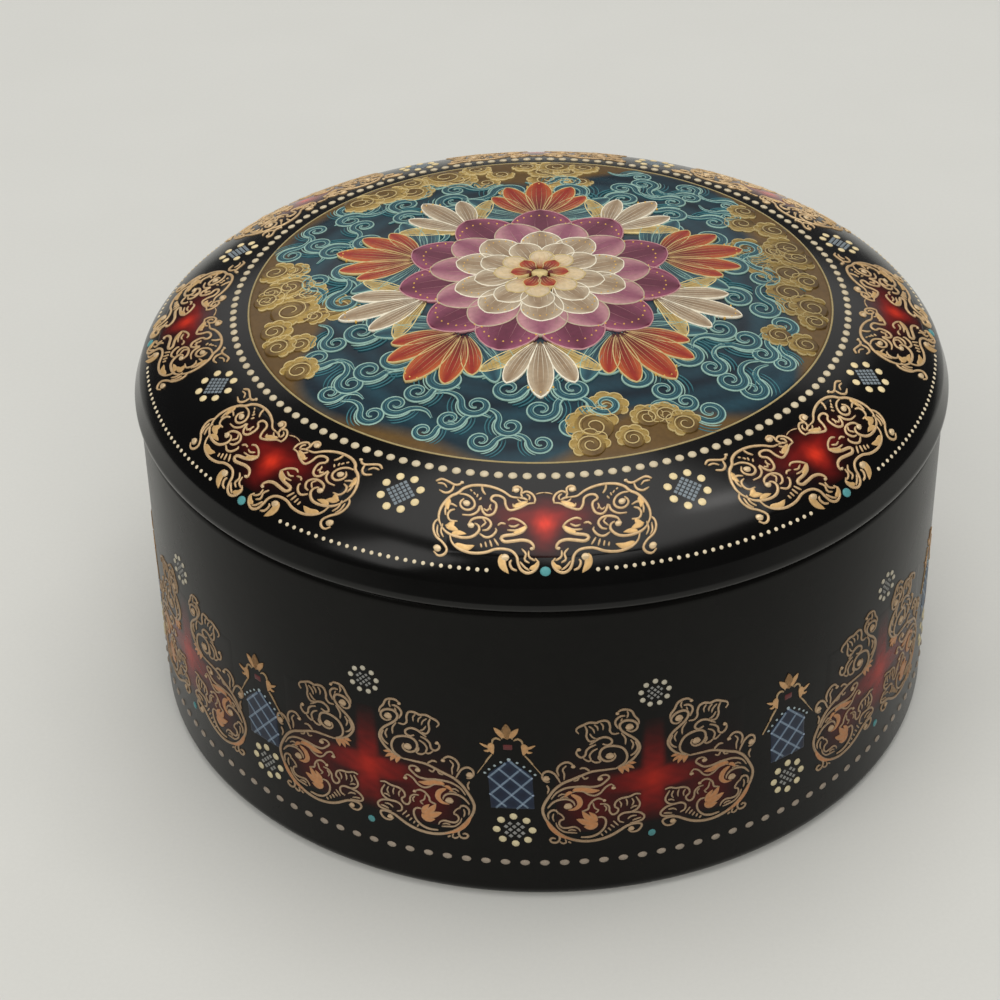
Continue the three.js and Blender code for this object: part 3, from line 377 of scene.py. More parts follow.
class Brush:
    """Collects painted bands as arrays, and makes one raised piece of them all."""

    def __init__(self):
        self.points = []
        self.quads = []
        self.colours = []
        self.count = 0

    def band(self, chart, path, half, across, heights, colours):
        """Sweeps a section across a path: places at each row path + side * half * across."""
        reach = half[:, None] * across
        rows, columns = reach.shape
        place = path[:, None] + sideways(path)[:, None] * reach[..., None]
        heights = np.broadcast_to(heights, reach.shape)
        points = chart(place[..., 0], place[..., 1], heights)
        quads = grid_quads(rows, columns, wrap_columns=True)[:, ::-1]
        last = (rows - 1) * columns
        step = np.arange(columns // 2 - 1)
        caps = np.stack([step, step + 1, columns - 2 - step, columns - 1 - step], 1)
        ends = np.concatenate([caps, caps[:, ::-1] + last])
        self.points.append(points.reshape(-1, 3))
        self.quads.append(np.concatenate([quads, ends]) + self.count)
        self.colours.append(np.broadcast_to(colours, (rows, columns, 3)).reshape(-1, 3))
        self.count += rows * columns

    def stroke(self, chart, path, half, colour, rise=0.12):
        """A line of paint: four points across, flat on top and sunk below at both sides."""
        across = np.array([-1.0, -0.6, 0.6, 1.0])
        self.band(chart, path, half, across, [-SINK, rise, rise, -SINK], colour)

    def leaf(self, chart, path, half, middle, edge, rise=0.08, crown=0.05, veins=0, base=None):
        """A broad band of ten points across, shaded from its middle to its edges and its base."""
        across = np.array([-1, -0.94, -0.75, -0.45, -0.15, 0.15, 0.45, 0.75, 0.94, 1.0])
        bulge = np.sqrt(np.maximum(0, 1 - across ** 2))
        heights = np.where(np.abs(across) > 0.99, -SINK, rise + crown * bulge)
        share = np.abs(across)[None, :, None] ** 1.5
        t = np.linspace(0, 1, len(path))[:, None, None]
        if veins:
            share = np.clip(share + 0.35 * (np.sin(veins * np.pi * t) ** 2) * share, 0, 1)
        colours = (1 - share) * middle + share * edge
        if base is not None:
            root = np.clip(1 - t / 0.6, 0, 1)
            colours = (1 - root) * colours + root * base
        self.band(chart, path, half, across, heights, colours)

    def knob(self, chart, x, y, radius, colour, rise=0.13):
        """A round drop of paint: a short band whose half width follows a circle."""
        t = np.linspace(-1, 1, 9)
        path = np.stack([x + radius * t, np.full(9, float(y))], 1)
        half = radius * np.sqrt(np.maximum(1 - t ** 2, 0.01))
        across = np.array([-1.0, -0.75, 0.0, 0.75, 1.0, 0.0])
        heights = [-SINK, rise, rise + 0.06, rise, -SINK, -SINK]
        self.band(chart, path, half, across, heights, colour)

    def piece(self, name):
        made = make_piece(name, np.concatenate(self.points), np.concatenate(self.quads))
        return paint(made, np.concatenate(self.colours))


def curl(x, y, radius, start_deg, turns, shrink=0.22):
    """A spiral round (x, y): radius times a share that falls to shrink, turning as it goes."""
    t = np.linspace(0, 1, max(9, int(abs(turns) * 16)))
    turn = np.radians(start_deg) + 2 * np.pi * turns * t
    r = radius * (1 - (1 - shrink) * t)
    return np.stack([x + r * np.cos(turn), y + r * np.sin(turn)], 1)


# %% [markdown]
# ## Painted sheets
#
# Broad colour, such as the red behind the scrolls, is a thin coat rather than a stroke. It is a
# grid of points laid on a chart and closed below, fine enough for its colours to shade smoothly
# from point to point, which saves an image and its seams.

# %% Fields


def field(name, boards, x, y, colours, height=0.03):
    """Thin painted sheets: one grid x, y (rows, columns) on each board, with its edge sunk.

    The height is one number, or a grid of them for a sheet that rises out by degrees.
    """
    rows, columns = x.shape
    level = np.array(np.broadcast_to(height, x.shape), float)
    level[[0, -1], :] = -SINK
    level[:, [0, -1]] = -SINK
    top = np.stack([chart(x, y, level).reshape(-1, 3) for chart in boards])
    low = np.full(x.shape, -2 * SINK)
    below = np.stack([chart(x, y, low).reshape(-1, 3) for chart in boards])
    points = np.concatenate([top, below], axis=1)
    size = rows * columns
    upper = grid_quads(rows, columns)
    ring = np.concatenate([
        np.arange(columns), columns * np.arange(1, rows) + columns - 1,
        size - 2 - np.arange(columns - 1), columns * np.arange(rows - 2, 0, -1)])
    after = np.roll(ring, -1)
    wall = np.stack([ring, ring + size, after + size, after], 1)
    faces = np.concatenate([upper, upper[:, ::-1] + size, wall])
    made = repeat_shape(points, faces, no_tris, name)
    return paint(made, np.tile(colours.reshape(-1, 3), (2 * len(boards), 1)))


# %% [markdown]
# ## The porcelain
#
# Drum and lid were cast as turned shapes, so each is a profile carried round the axis. The CAD
# model has the same profiles with few facets. Here each corner of the profile gets the small
# radius that glaze leaves, because a porcelain edge is never sharp.

# %% Turned shapes


def rounded(bends):
    """A profile through bends (x, z, radius): each becomes an arc of that radius."""
    out = [np.array([bends[0][:2]])]
    for before, corner, after in zip(bends[:-2], bends[1:-1], bends[2:]):
        place, radius = np.array(corner[:2], float), corner[2]
        back = np.array(before[:2]) - place
        ahead = np.array(after[:2]) - place
        back = back / np.linalg.norm(back)
        ahead = ahead / np.linalg.norm(ahead)
        if radius <= 0 or abs(back @ ahead) > 0.999:
            out.append(place[None])
            continue
        half = np.arccos(np.clip(back @ ahead, -1, 1)) / 2
        start = place + back * radius / np.tan(half)
        stop = place + ahead * radius / np.tan(half)
        t = np.linspace(0, 1, 7)[:, None]
        middle = place + (back + ahead) / np.linalg.norm(back + ahead) * radius / np.sin(half)
        ray = (1 - t) * (start - middle) + t * (stop - middle)
        out.append(middle + ray / np.linalg.norm(ray, axis=1, keepdims=True) * radius)
    out.append(np.array([bends[-1][:2]]))
    return np.concatenate(out)


def turned(name, profile, segments=288):
    """Carries a profile (radius, height) round Z, its outer side first.

    An end on the axis closes in a fan. A profile that stays off the axis closes on itself.
    """
    apart = np.linalg.norm(np.diff(profile, axis=0), axis=1) > 1e-6
    profile = profile[np.concatenate([[True], apart])]
    on_axis = profile[[0, -1], 0] < 1e-6
    rings = profile[profile[:, 0] >= 1e-6]
    turn = np.linspace(0, 2 * np.pi, segments, endpoint=False)
    grid = np.stack([rings[:, :1] * np.cos(turn), rings[:, :1] * np.sin(turn),
                     np.repeat(rings[:, 1:], segments, axis=1)], axis=-1)
    points = grid.reshape(-1, 3)
    quads = grid_quads(len(rings), segments, wrap_rows=not any(on_axis), wrap_columns=True)
    tris = [no_tris]
    for end, start in ((0, 0), (-1, (len(rings) - 1) * segments)):
        if on_axis[end]:
            tris.append(fan(start, segments, len(points), turned_over=end == -1))
            points = np.concatenate([points, [[0, 0, profile[end, 1]]]])
    return make_piece(name, points, quads[:, ::-1], np.concatenate(tris))


# %% Drum and lid
drum_profile = rounded([
    (key_hole_radius, recess_depth, 0.0),
    (key_hole_radius, floor_top, 0.0),
    (well_radius, floor_top, 0.6),
    (well_radius, ledge_height, 0.3),
    (mouth_radius, ledge_height, 0.25),
    (mouth_radius, body_height - 0.5, 0.4),
    (mouth_radius + 0.5, body_height, 0.4),
    (body_radius, body_height, seat_round),
    (body_radius, 0.0, foot_round),
    (recess_radius + 0.8, 0.0, 0.3),
    (recess_radius, 0.8, 0.3),
    (recess_radius, recess_depth, 1.0),
    (key_hole_radius, recess_depth, 0.0),
])
inner_edge = body_height + 1.0
dome_thickness = 3.5
inner_dome = dome_curve(flange_inner, inner_edge, lid_top - dome_thickness - inner_edge, 60)
lid_inside = rounded([
    (lid_radius - lid_edge_round, body_height, 0.0),
    (flange_radius, body_height, 0.25),
    (flange_radius, flange_bottom, 0.4),
    (flange_inner, flange_bottom, 0.4),
    (flange_inner, inner_edge, 0.0),
])
shoulder = len(lid_curve) - rim_points - 1
lid_outside = lid_curve[np.concatenate([
    np.linspace(0, shoulder - 1, 90).astype(int), np.arange(shoulder, len(lid_curve))])]
drum = turned("porcelain_drum", drum_profile)
lid = turned("porcelain_lid", np.concatenate([lid_outside, lid_inside[1:], inner_dome[::-1]]))
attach(drum, "box")
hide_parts("box_body")
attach(lid, "lid")
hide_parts("lid")

# %% [markdown]
# ## Finishes
#
# A fired glaze is never one flat colour: it pools, it carries tiny pits, and its gloss wavers.
# Metal carries fine turning or brushing lines and a little tarnish. Both effects are node groups,
# built once, and every material sets its own amounts.

# %% Helpers for shader nodes


def new_group(name, inputs, outputs):
    """An empty shader group with float or colour sockets, given as name to default value."""
    group = bpy.data.node_groups.new(name, "ShaderNodeTree")
    for side, sockets in (("INPUT", inputs), ("OUTPUT", outputs)):
        for label, value in sockets.items():
            kind = "NodeSocketColor" if np.ndim(value) else "NodeSocketFloat"
            socket = group.interface.new_socket(label, in_out=side, socket_type=kind)
            socket.default_value = (*value, 1.0) if np.ndim(value) else value
    nodes = group.nodes
    return group, nodes.new("NodeGroupInput"), nodes.new("NodeGroupOutput")


def add_node(tree, kind, settings=(), **sockets):
    """A node with its settings and its socket values or links in one call."""
    node = tree.nodes.new(kind)
    for key, value in dict(settings).items():
        setattr(node, key, value)
    for label, value in sockets.items():
        socket = node.inputs[int(label[1:]) if label[1:].isdigit() else label.replace("_", " ")]
        if isinstance(value, bpy.types.NodeSocket):
            tree.links.new(value, socket)
        else:
            socket.default_value = value
    return node


def noise(tree, where, scale, detail=3.0, roughness=0.5):
    """Fractal noise on a position, as a value that stays near one half."""
    node = add_node(tree, "ShaderNodeTexNoise", Vector=where, Scale=scale, Detail=detail,
                    Roughness=roughness)
    return node.outputs["Fac"]


def blend(tree, kind, factor, first, second):
    """A colour mix of the given kind."""
    node = add_node(tree, "ShaderNodeMix", {"data_type": "RGBA", "blend_type": kind},
                    s0=factor, s6=first, s7=second)
    return node.outputs[2]


def spread(tree, value, low, high, out_low, out_high):
    """Maps a value from one span to another, without running past its ends."""
    node = add_node(tree, "ShaderNodeMapRange", Value=value, From_Min=low, From_Max=high,
                    To_Min=out_low, To_Max=out_high)
    return node.outputs["Result"]


def calc(tree, operation, first, second):
    """One sum, product or the like of two values."""
    node = add_node(tree, "ShaderNodeMath", {"operation": operation}, s0=first, s1=second)
    return node.outputs["Value"]


# %% The fired surface
# Colour pools in patches and is dusted with specks, and the gloss wavers with the patches
fired, fired_in, fired_out = new_group(
    "Fired surface",
    {"Colour": (0.5, 0.5, 0.5), "Pooled": (0.4, 0.4, 0.4), "Mottle": 0.5, "Grain": 900.0,
     "Speckle": 0.5, "Gloss": 0.15, "Waver": 0.08},
    {"Colour": (0.5, 0.5, 0.5), "Roughness": 0.2, "Height": 0.0})
where = add_node(fired, "ShaderNodeTexCoord").outputs["Object"]
broad = noise(fired, where, 45.0, 4.0)
fine = noise(fired, where, fired_in.outputs["Grain"], 2.0)
patches = spread(fired, broad, 0.35, 0.65, 0.0, 1.0)
amount = calc(fired, "MULTIPLY", patches, fired_in.outputs["Mottle"])
mixed = blend(fired, "MIX", amount, fired_in.outputs["Colour"], fired_in.outputs["Pooled"])
speck = calc(fired, "MULTIPLY", calc(fired, "SUBTRACT", fine, 0.5), fired_in.outputs["Speckle"])
speck = calc(fired, "ADD", speck, 1.0)
speck_colour = add_node(fired, "ShaderNodeCombineColor", Red=speck, Green=speck, Blue=speck)
shaded = blend(fired, "MULTIPLY", 1.0, mixed, speck_colour.outputs["Color"])
waver = calc(fired, "MULTIPLY", patches, fired_in.outputs["Waver"])
gloss = calc(fired, "ADD", fired_in.outputs["Gloss"], waver)
fired.links.new(shaded, fired_out.inputs["Colour"])
fired.links.new(gloss, fired_out.inputs["Roughness"])
fired.links.new(fine, fired_out.inputs["Height"])

# %% Worked metal
# Fine lines run along X, and tarnish lies over the metal in clouds
worked, worked_in, worked_out = new_group(
    "Worked metal",
    {"Colour": (0.6, 0.6, 0.6), "Tarnish": (0.3, 0.3, 0.3), "Age": 0.4, "Lines": 2500.0,
     "Gloss": 0.25, "Waver": 0.15},
    {"Colour": (0.6, 0.6, 0.6), "Roughness": 0.3, "Height": 0.0})
where = add_node(worked, "ShaderNodeTexCoord").outputs["Object"]
stretched = add_node(worked, "ShaderNodeMapping", Vector=where, Scale=(0.06, 1.0, 1.0))
lines = noise(worked, stretched.outputs["Vector"], worked_in.outputs["Lines"], 2.0)
cloud = noise(worked, where, 220.0, 4.0, 0.6)
patches = spread(worked, cloud, 0.4, 0.68, 0.0, 1.0)
amount = calc(worked, "MULTIPLY", patches, worked_in.outputs["Age"])
mixed = blend(worked, "MIX", amount, worked_in.outputs["Colour"], worked_in.outputs["Tarnish"])
waver = calc(worked, "MULTIPLY", lines, worked_in.outputs["Waver"])
gloss = calc(worked, "ADD", worked_in.outputs["Gloss"], waver)
worked.links.new(mixed, worked_out.inputs["Colour"])
worked.links.new(gloss, worked_out.inputs["Roughness"])
worked.links.new(lines, worked_out.inputs["Height"])
print("groups:", fired.name, "and", worked.name)

# %% A material from an effect
bare_colour = (0.52, 0.49, 0.43, 1.0)
bare_roughness = 0.75
glaze_fade = 0.08


def finish(name, effect, bump, metal=0.0, painted=False, specular=0.5, **values):
    """A Principled material whose colour, gloss and relief come from an effect group.

    A painted one takes its colour from the points' "tint", and Pooled then multiplies it.
    """
    material = bpy.data.materials.new(name)
    material.use_nodes = True
    tree = material.node_tree
    shader = tree.nodes["Principled BSDF"]
    shader.inputs["Metallic"].default_value = metal
    shader.inputs["Specular IOR Level"].default_value = specular
    group = tree.nodes.new("ShaderNodeGroup")
    group.node_tree = effect
    for label, value in values.items():
        group.inputs[label].default_value = (*value, 1.0) if np.ndim(value) else value
    if painted:
        tint = add_node(tree, "ShaderNodeVertexColor", {"layer_name": "tint"}).outputs["Color"]
        darker = blend(tree, "MULTIPLY", 1.0, tint, (*values["Pooled"], 1.0))
        tree.links.new(tint, group.inputs["Colour"])
        tree.links.new(darker, group.inputs["Pooled"])
    relief = add_node(tree, "ShaderNodeBump", Height=group.outputs["Height"], Strength=1.0,
                      Distance=bump)
    tree.links.new(group.outputs["Colour"], shader.inputs["Base Color"])
    tree.links.new(group.outputs["Roughness"], shader.inputs["Roughness"])
    tree.links.new(relief.outputs["Normal"], shader.inputs["Normal"])
    return material


def bare_rings(material, lowest, highest):
    """Shows the unglazed body where the glaze ends, below the lowest and above the highest."""
    tree = material.node_tree
    shader = tree.nodes["Principled BSDF"]
    colour = shader.inputs["Base Color"]
    gloss = shader.inputs["Roughness"]
    where = add_node(tree, "ShaderNodeTexCoord").outputs["Object"]
    height = add_node(tree, "ShaderNodeSeparateXYZ", Vector=where).outputs["Z"]
    low = spread(tree, height, lowest * MM, (lowest + glaze_fade) * MM, 1.0, 0.0)
    high = spread(tree, height, (highest - glaze_fade) * MM, highest * MM, 0.0, 1.0)
    bare = calc(tree, "MAXIMUM", low, high)
    shown = blend(tree, "MIX", bare, colour.links[0].from_socket, bare_colour)
    dull = add_node(tree, "ShaderNodeMix", {"data_type": "FLOAT"}, s0=bare,
                    s2=gloss.links[0].from_socket, s3=bare_roughness)
    tree.links.new(shown, colour)
    tree.links.new(dull.outputs[0], gloss)


def wear(piece, material):
    """Gives a piece this material alone."""
    piece.data.materials.clear()
    piece.data.materials.append(material)


# %% The black glazes of the drum and the lid
gloss_black = finish(
    "black glaze, glossy", fired,
    Colour=(0.0024, 0.0023, 0.0020), Pooled=(0.0016, 0.0015, 0.0014), Mottle=0.7,
    Grain=260.0, Gloss=0.15, Waver=0.07, bump=0.000008, specular=0.30)
satin_black = finish(
    "black glaze, satin", fired,
    Colour=(0.0042, 0.0040, 0.0034), Pooled=(0.0026, 0.0024, 0.0021), Mottle=0.7,
    Grain=700.0, Gloss=0.24, Waver=0.06, bump=0.000008, specular=0.13)
bare_rings(satin_black, 0.12, body_height - 0.05)
bare_rings(gloss_black, flange_bottom + 0.05, lid_top + 10)
wear(lid, gloss_black)
wear(drum, satin_black)

# %% [markdown]
# ## Metals and plastics inside
#
# The CAD nodes keep their shapes and only get a finish. A movement of this kind mixes a grey
# die-cast plate, bright plated steel, blued spring steel, brass and a little white nylon.

# %% Finishes of the CAD nodes
brass = finish(
    "brass, turned", worked,
    Colour=(0.70, 0.46, 0.14), Tarnish=(0.42, 0.25, 0.07), Age=0.5, Lines=2600.0,
    Gloss=0.18, Waver=0.2, bump=0.000015, metal=1.0)
steel = finish(
    "steel, zinc plated", worked,
    Colour=(0.62, 0.63, 0.65), Tarnish=(0.40, 0.40, 0.41), Age=0.45,
    Lines=3000.0, Gloss=0.2, Waver=0.2, bump=0.000012, metal=1.0)
blued = finish(
    "spring steel, blued", worked,
    Colour=(0.10, 0.14, 0.24), Tarnish=(0.20, 0.13, 0.10), Age=0.5,
    Lines=3000.0, Gloss=0.18, Waver=0.15, bump=0.00001, metal=1.0)
cast_zinc = finish(
    "zinc, die-cast", fired,
    Colour=(0.40, 0.41, 0.42), Pooled=(0.30, 0.31, 0.32), Mottle=0.6,
    Grain=1500.0, Gloss=0.38, Waver=0.15, bump=0.00006, metal=0.9)
nylon = finish(
    "nylon, moulded", fired,
    Colour=(0.74, 0.70, 0.60), Pooled=(0.66, 0.60, 0.48), Mottle=0.5,
    Grain=1200.0, Gloss=0.38, Waver=0.08, bump=0.00002)
fibre = finish(
    "fibre, pressed", fired,
    Colour=(0.22, 0.075, 0.04), Pooled=(0.15, 0.05, 0.028), Mottle=0.8,
    Grain=2500.0, Gloss=0.7, Waver=0.1, bump=0.00006)
tray_plastic = finish(
    "tray, moulded plastic", fired,
    Colour=(0.028, 0.024, 0.022), Pooled=(0.022, 0.019, 0.017), Mottle=0.6,
    Grain=3200.0, Gloss=0.42, Waver=0.08, bump=0.00009)
by_slot = {
    "brass": brass, "steel": steel, "spring_steel": blued, "cast_zinc": cast_zinc,
    "nylon": nylon, "fibre": fibre, "tray_plastic": tray_plastic,
    "lid_glaze": gloss_black, "body_glaze": satin_black,
}
for subpart in frame["record"]["subparts"]:
    wear(frame["nodes"][subpart["node"]], by_slot[subpart["material_slot"]])

# %% [markdown]
# ## Paints
#
# The decorator's palette is small: pale gold for scrolls, creams and greys for dots, one warm
# red that glows from ember to nearly black, a teal accent and cold blues. Each is written as it
# reads in daylight and turned into linear light once. The gold is printed in three tones: one
# for lines, a lighter one for knobs and a warmer one for leaves. The points of a piece carry its
# colours, so that one material serves every paint of its kind.

# %% Paint colours
lid_gold = (linear(226, 194, 148), linear(238, 212, 170), linear(230, 190, 128))
# Painted shade: the drum's and the crowns' golds are the lid's gold made darker for the upright
# wall
drum_gold_with_painted_shade = (linear(170, 146, 118), linear(192, 166, 134), linear(192, 134, 88))
crown_gold_with_painted_shade = (linear(178, 152, 116), linear(202, 178, 140), linear(200, 156, 108))
cream = linear(222, 208, 178)
beige = linear(206, 192, 162)
stone = linear(144, 132, 118)
ash = linear(128, 128, 124)
ember = linear(222, 54, 30)
red = linear(142, 26, 22)
wine = linear(58, 12, 12)
# The black that red fades to is linear already, and darker under the lid's gloss
soot = np.array([0.0038, 0.0036, 0.0031])
lid_soot = 0.57 * soot
teal = linear(84, 150, 152)
blue = linear(31, 46, 68)
blue_dark = linear(20, 28, 46)
blue_pale = linear(102, 118, 134)

# %% Gold, enamel and the red glazes
gold_print = finish(
    "gold print, fired", fired,
    Colour=(0.66, 0.44, 0.22), Pooled=(0.55, 0.48, 0.42), Mottle=0.55,
    Grain=2200.0, Gloss=0.34, Waver=0.12, bump=0.00001, metal=0.35, painted=True,
    specular=0.25)
enamel = finish(
    "enamel, fired", fired,
    Colour=(0.5, 0.5, 0.5), Pooled=(0.72, 0.70, 0.68), Mottle=0.45,
    Grain=1600.0, Gloss=0.26, Waver=0.08, bump=0.000008, painted=True, specular=0.25)
red_on_lid = finish(
    "red enamel on the lid", fired,
    Colour=(0.2, 0.01, 0.01), Pooled=(0.75, 0.75, 0.75), Mottle=0.7,
    Grain=260.0, Gloss=0.15, Waver=0.07, bump=0.000008, painted=True,
    specular=0.30)
red_on_drum = finish(
    "red enamel on the drum", fired,
    Colour=(0.2, 0.01, 0.01), Pooled=(0.72, 0.72, 0.72), Mottle=0.7,
    Grain=700.0, Gloss=0.24, Waver=0.06, bump=0.000008, painted=True,
    specular=0.13)


def dress(piece, body, material=enamel):
    """Lets a piece of ornament ride on its body, parented to that body's empty, with its paint."""
    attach(piece, body)
    wear(piece, material)


# %% [markdown]
# ## Scrollwork
#
# Acanthus scrolls are an old common ornament. Each motif is symmetrical, so only its left half
# is sketched, large, on squared paper: curves with a width in millimetres, given by a few points
# that a smooth line runs through, leaves that swell in the middle, and knobs that end a curl.
# A sketch is turned into millimetres, mirrored and repeated round the porcelain by its charts.

# %% From a sketch to the drawing board


def from_sketch(points, middle, units, rise, bow):
    """x = (middle - X) / units across; y = (middle - Y) / units up + rise * x + bow * x squared."""
    p = np.asarray(points, float)
    x = (middle[0] - p[:, 0]) / units[0]
    y = (middle[1] - p[:, 1]) / units[1] + rise * x + bow * x ** 2
    return np.stack([x, y], 1)


def lid_sketch(points):
    """The lid's sketch shows a ring seen from the front, so it is bowed straight."""
    flat = from_sketch(points, middle=(807, 436), units=(59.5, 53.7), rise=0.0, bow=-0.00726)
    flat[:, 1] += 0.0102 * flat[:, 1] ** 2
    return flat


def drum_sketch(points):
    """The drum's sketch slants a little, because the motif was drawn from beside it."""
    return from_sketch(points, middle=(1110, 800), units=(81.0, 67.6), rise=0.173, bow=-0.0066)


# %% The lid's scroll motif, its left half
lid_scrolls = [
    (0.42, [(640, 258), (590, 250), (540, 215), (480, 188), (410, 172), (330, 172), (270, 192),
            (235, 222), (185, 245), (135, 295), (108, 350), (105, 400), (125, 450)]),
    (0.36, [(240, 228), (290, 235), (330, 260), (348, 300), (330, 330), (290, 338), (255, 315),
            (250, 285), (275, 262)]),
    (0.34, [(150, 372), (148, 335), (162, 305), (190, 296), (228, 316)]),
    (0.34, [(215, 334), (182, 342), (165, 372), (182, 408), (232, 414)]),
    (0.34, [(395, 175), (400, 208), (420, 235)]),
    (0.26, [(316, 200), (330, 212)]),
    (0.26, [(340, 218), (352, 236)]),
    (0.26, [(368, 232), (360, 252)]),
    (0.26, [(392, 255), (376, 272)]),
    (0.38, [(262, 370), (320, 373), (366, 350), (385, 310), (402, 352), (430, 376), (470, 366),
            (490, 326), (486, 292), (455, 270), (470, 244), (510, 243), (545, 265), (552, 305),
            (575, 342), (625, 334), (665, 318), (700, 300), (742, 296)]),
    (0.28, [(408, 330), (428, 345), (445, 328)]),
    (0.28, [(455, 303), (446, 322), (458, 342)]),
    (0.28, [(600, 300), (606, 318), (622, 322)]),
    (0.28, [(630, 268), (655, 290), (690, 284)]),
    (0.34, [(640, 258), (672, 262), (700, 278)]),
    (0.34, [(655, 232), (690, 215), (730, 235), (747, 270), (740, 300)]),
    (0.34, [(600, 214), (606, 188), (635, 180), (660, 200), (655, 234), (668, 262)]),
    (0.30, [(690, 235), (712, 250), (706, 276)]),
    (0.42, [(125, 450), (150, 480), (185, 502), (240, 520), (300, 525), (345, 510), (376, 476),
            (370, 442), (345, 430)]),
    (0.38, [(308, 430), (330, 402), (380, 390), (430, 400), (456, 435), (432, 472), (398, 478)]),
    (0.28, [(400, 400), (420, 425), (388, 455)]),
    (0.36, [(380, 500), (420, 525), (462, 515), (490, 482), (484, 464)]),
    (0.32, [(500, 446), (520, 430), (552, 436)]),
    (0.34, [(566, 412), (590, 400), (622, 405), (660, 425), (690, 456)]),
    (0.50, [(690, 456), (660, 490), (600, 508), (540, 516), (520, 534), (545, 556), (600, 552),
            (660, 546), (708, 558), (734, 590), (728, 612)]),
    (0.30, [(572, 446), (604, 456), (640, 440)]),
    (0.30, [(562, 478), (620, 480), (664, 462)]),
    (0.40, [(180, 502), (192, 550), (230, 592), (290, 620), (350, 630), (420, 625), (480, 606),
            (540, 605), (590, 620), (622, 658), (630, 702), (650, 748), (692, 770), (740, 750),
            (764, 702), (740, 672)]),
    (0.28, [(386, 566), (392, 594)]),
    (0.28, [(416, 556), (424, 592)]),
    (0.30, [(446, 545), (460, 590)]),
    (0.30, [(474, 535), (504, 582)]),
    (0.36, [(588, 680), (575, 700), (590, 738), (622, 752)]),
    (0.32, [(655, 606), (682, 640), (672, 680), (704, 702)]),
    (0.30, [(700, 620), (702, 662), (742, 688)]),
    (0.30, [(642, 692), (672, 730), (704, 752)]),
    (0.36, [(102, 398), (76, 420), (68, 462), (86, 512), (130, 552), (160, 600), (142, 634),
            (102, 642), (72, 612)]),
    (0.28, [(132, 430), (120, 480), (138, 520)]),
    (0.28, [(98, 438), (94, 490), (112, 520)]),
    (0.36, [(80, 142), (122, 128), (168, 146), (208, 166), (240, 166), (262, 150)]),
    (0.34, [(206, 170), (190, 206), (150, 222), (104, 202)]),
    (0.28, [(92, 156), (135, 160), (158, 186)]),
    (0.16, [(752, 236), (778, 228), (807, 225)]),
]
lid_leaves = [
    (0.75, [(180, 262), (160, 300), (168, 340)]),
    (0.80, [(148, 440), (196, 458), (240, 478)]),
    (0.70, [(160, 450), (190, 436), (212, 410)]),
    (0.65, [(190, 500), (240, 492), (292, 502)]),
    (0.85, [(214, 566), (280, 594), (346, 580)]),
    (0.95, [(524, 640), (528, 712), (568, 772)]),
    (0.70, [(600, 505), (650, 482), (686, 450)]),
    (0.70, [(600, 322), (650, 306), (700, 286)]),
    (0.60, [(700, 740), (742, 728), (758, 690)]),
]
lid_knobs = [(292, 292, 26), (322, 442, 24), (545, 662, 28), (96, 592, 27), (622, 204, 24),
             (262, 152, 13), (720, 606, 13)]
print(len(lid_scrolls) + len(lid_leaves) + len(lid_knobs), "shapes in the lid's half motif")

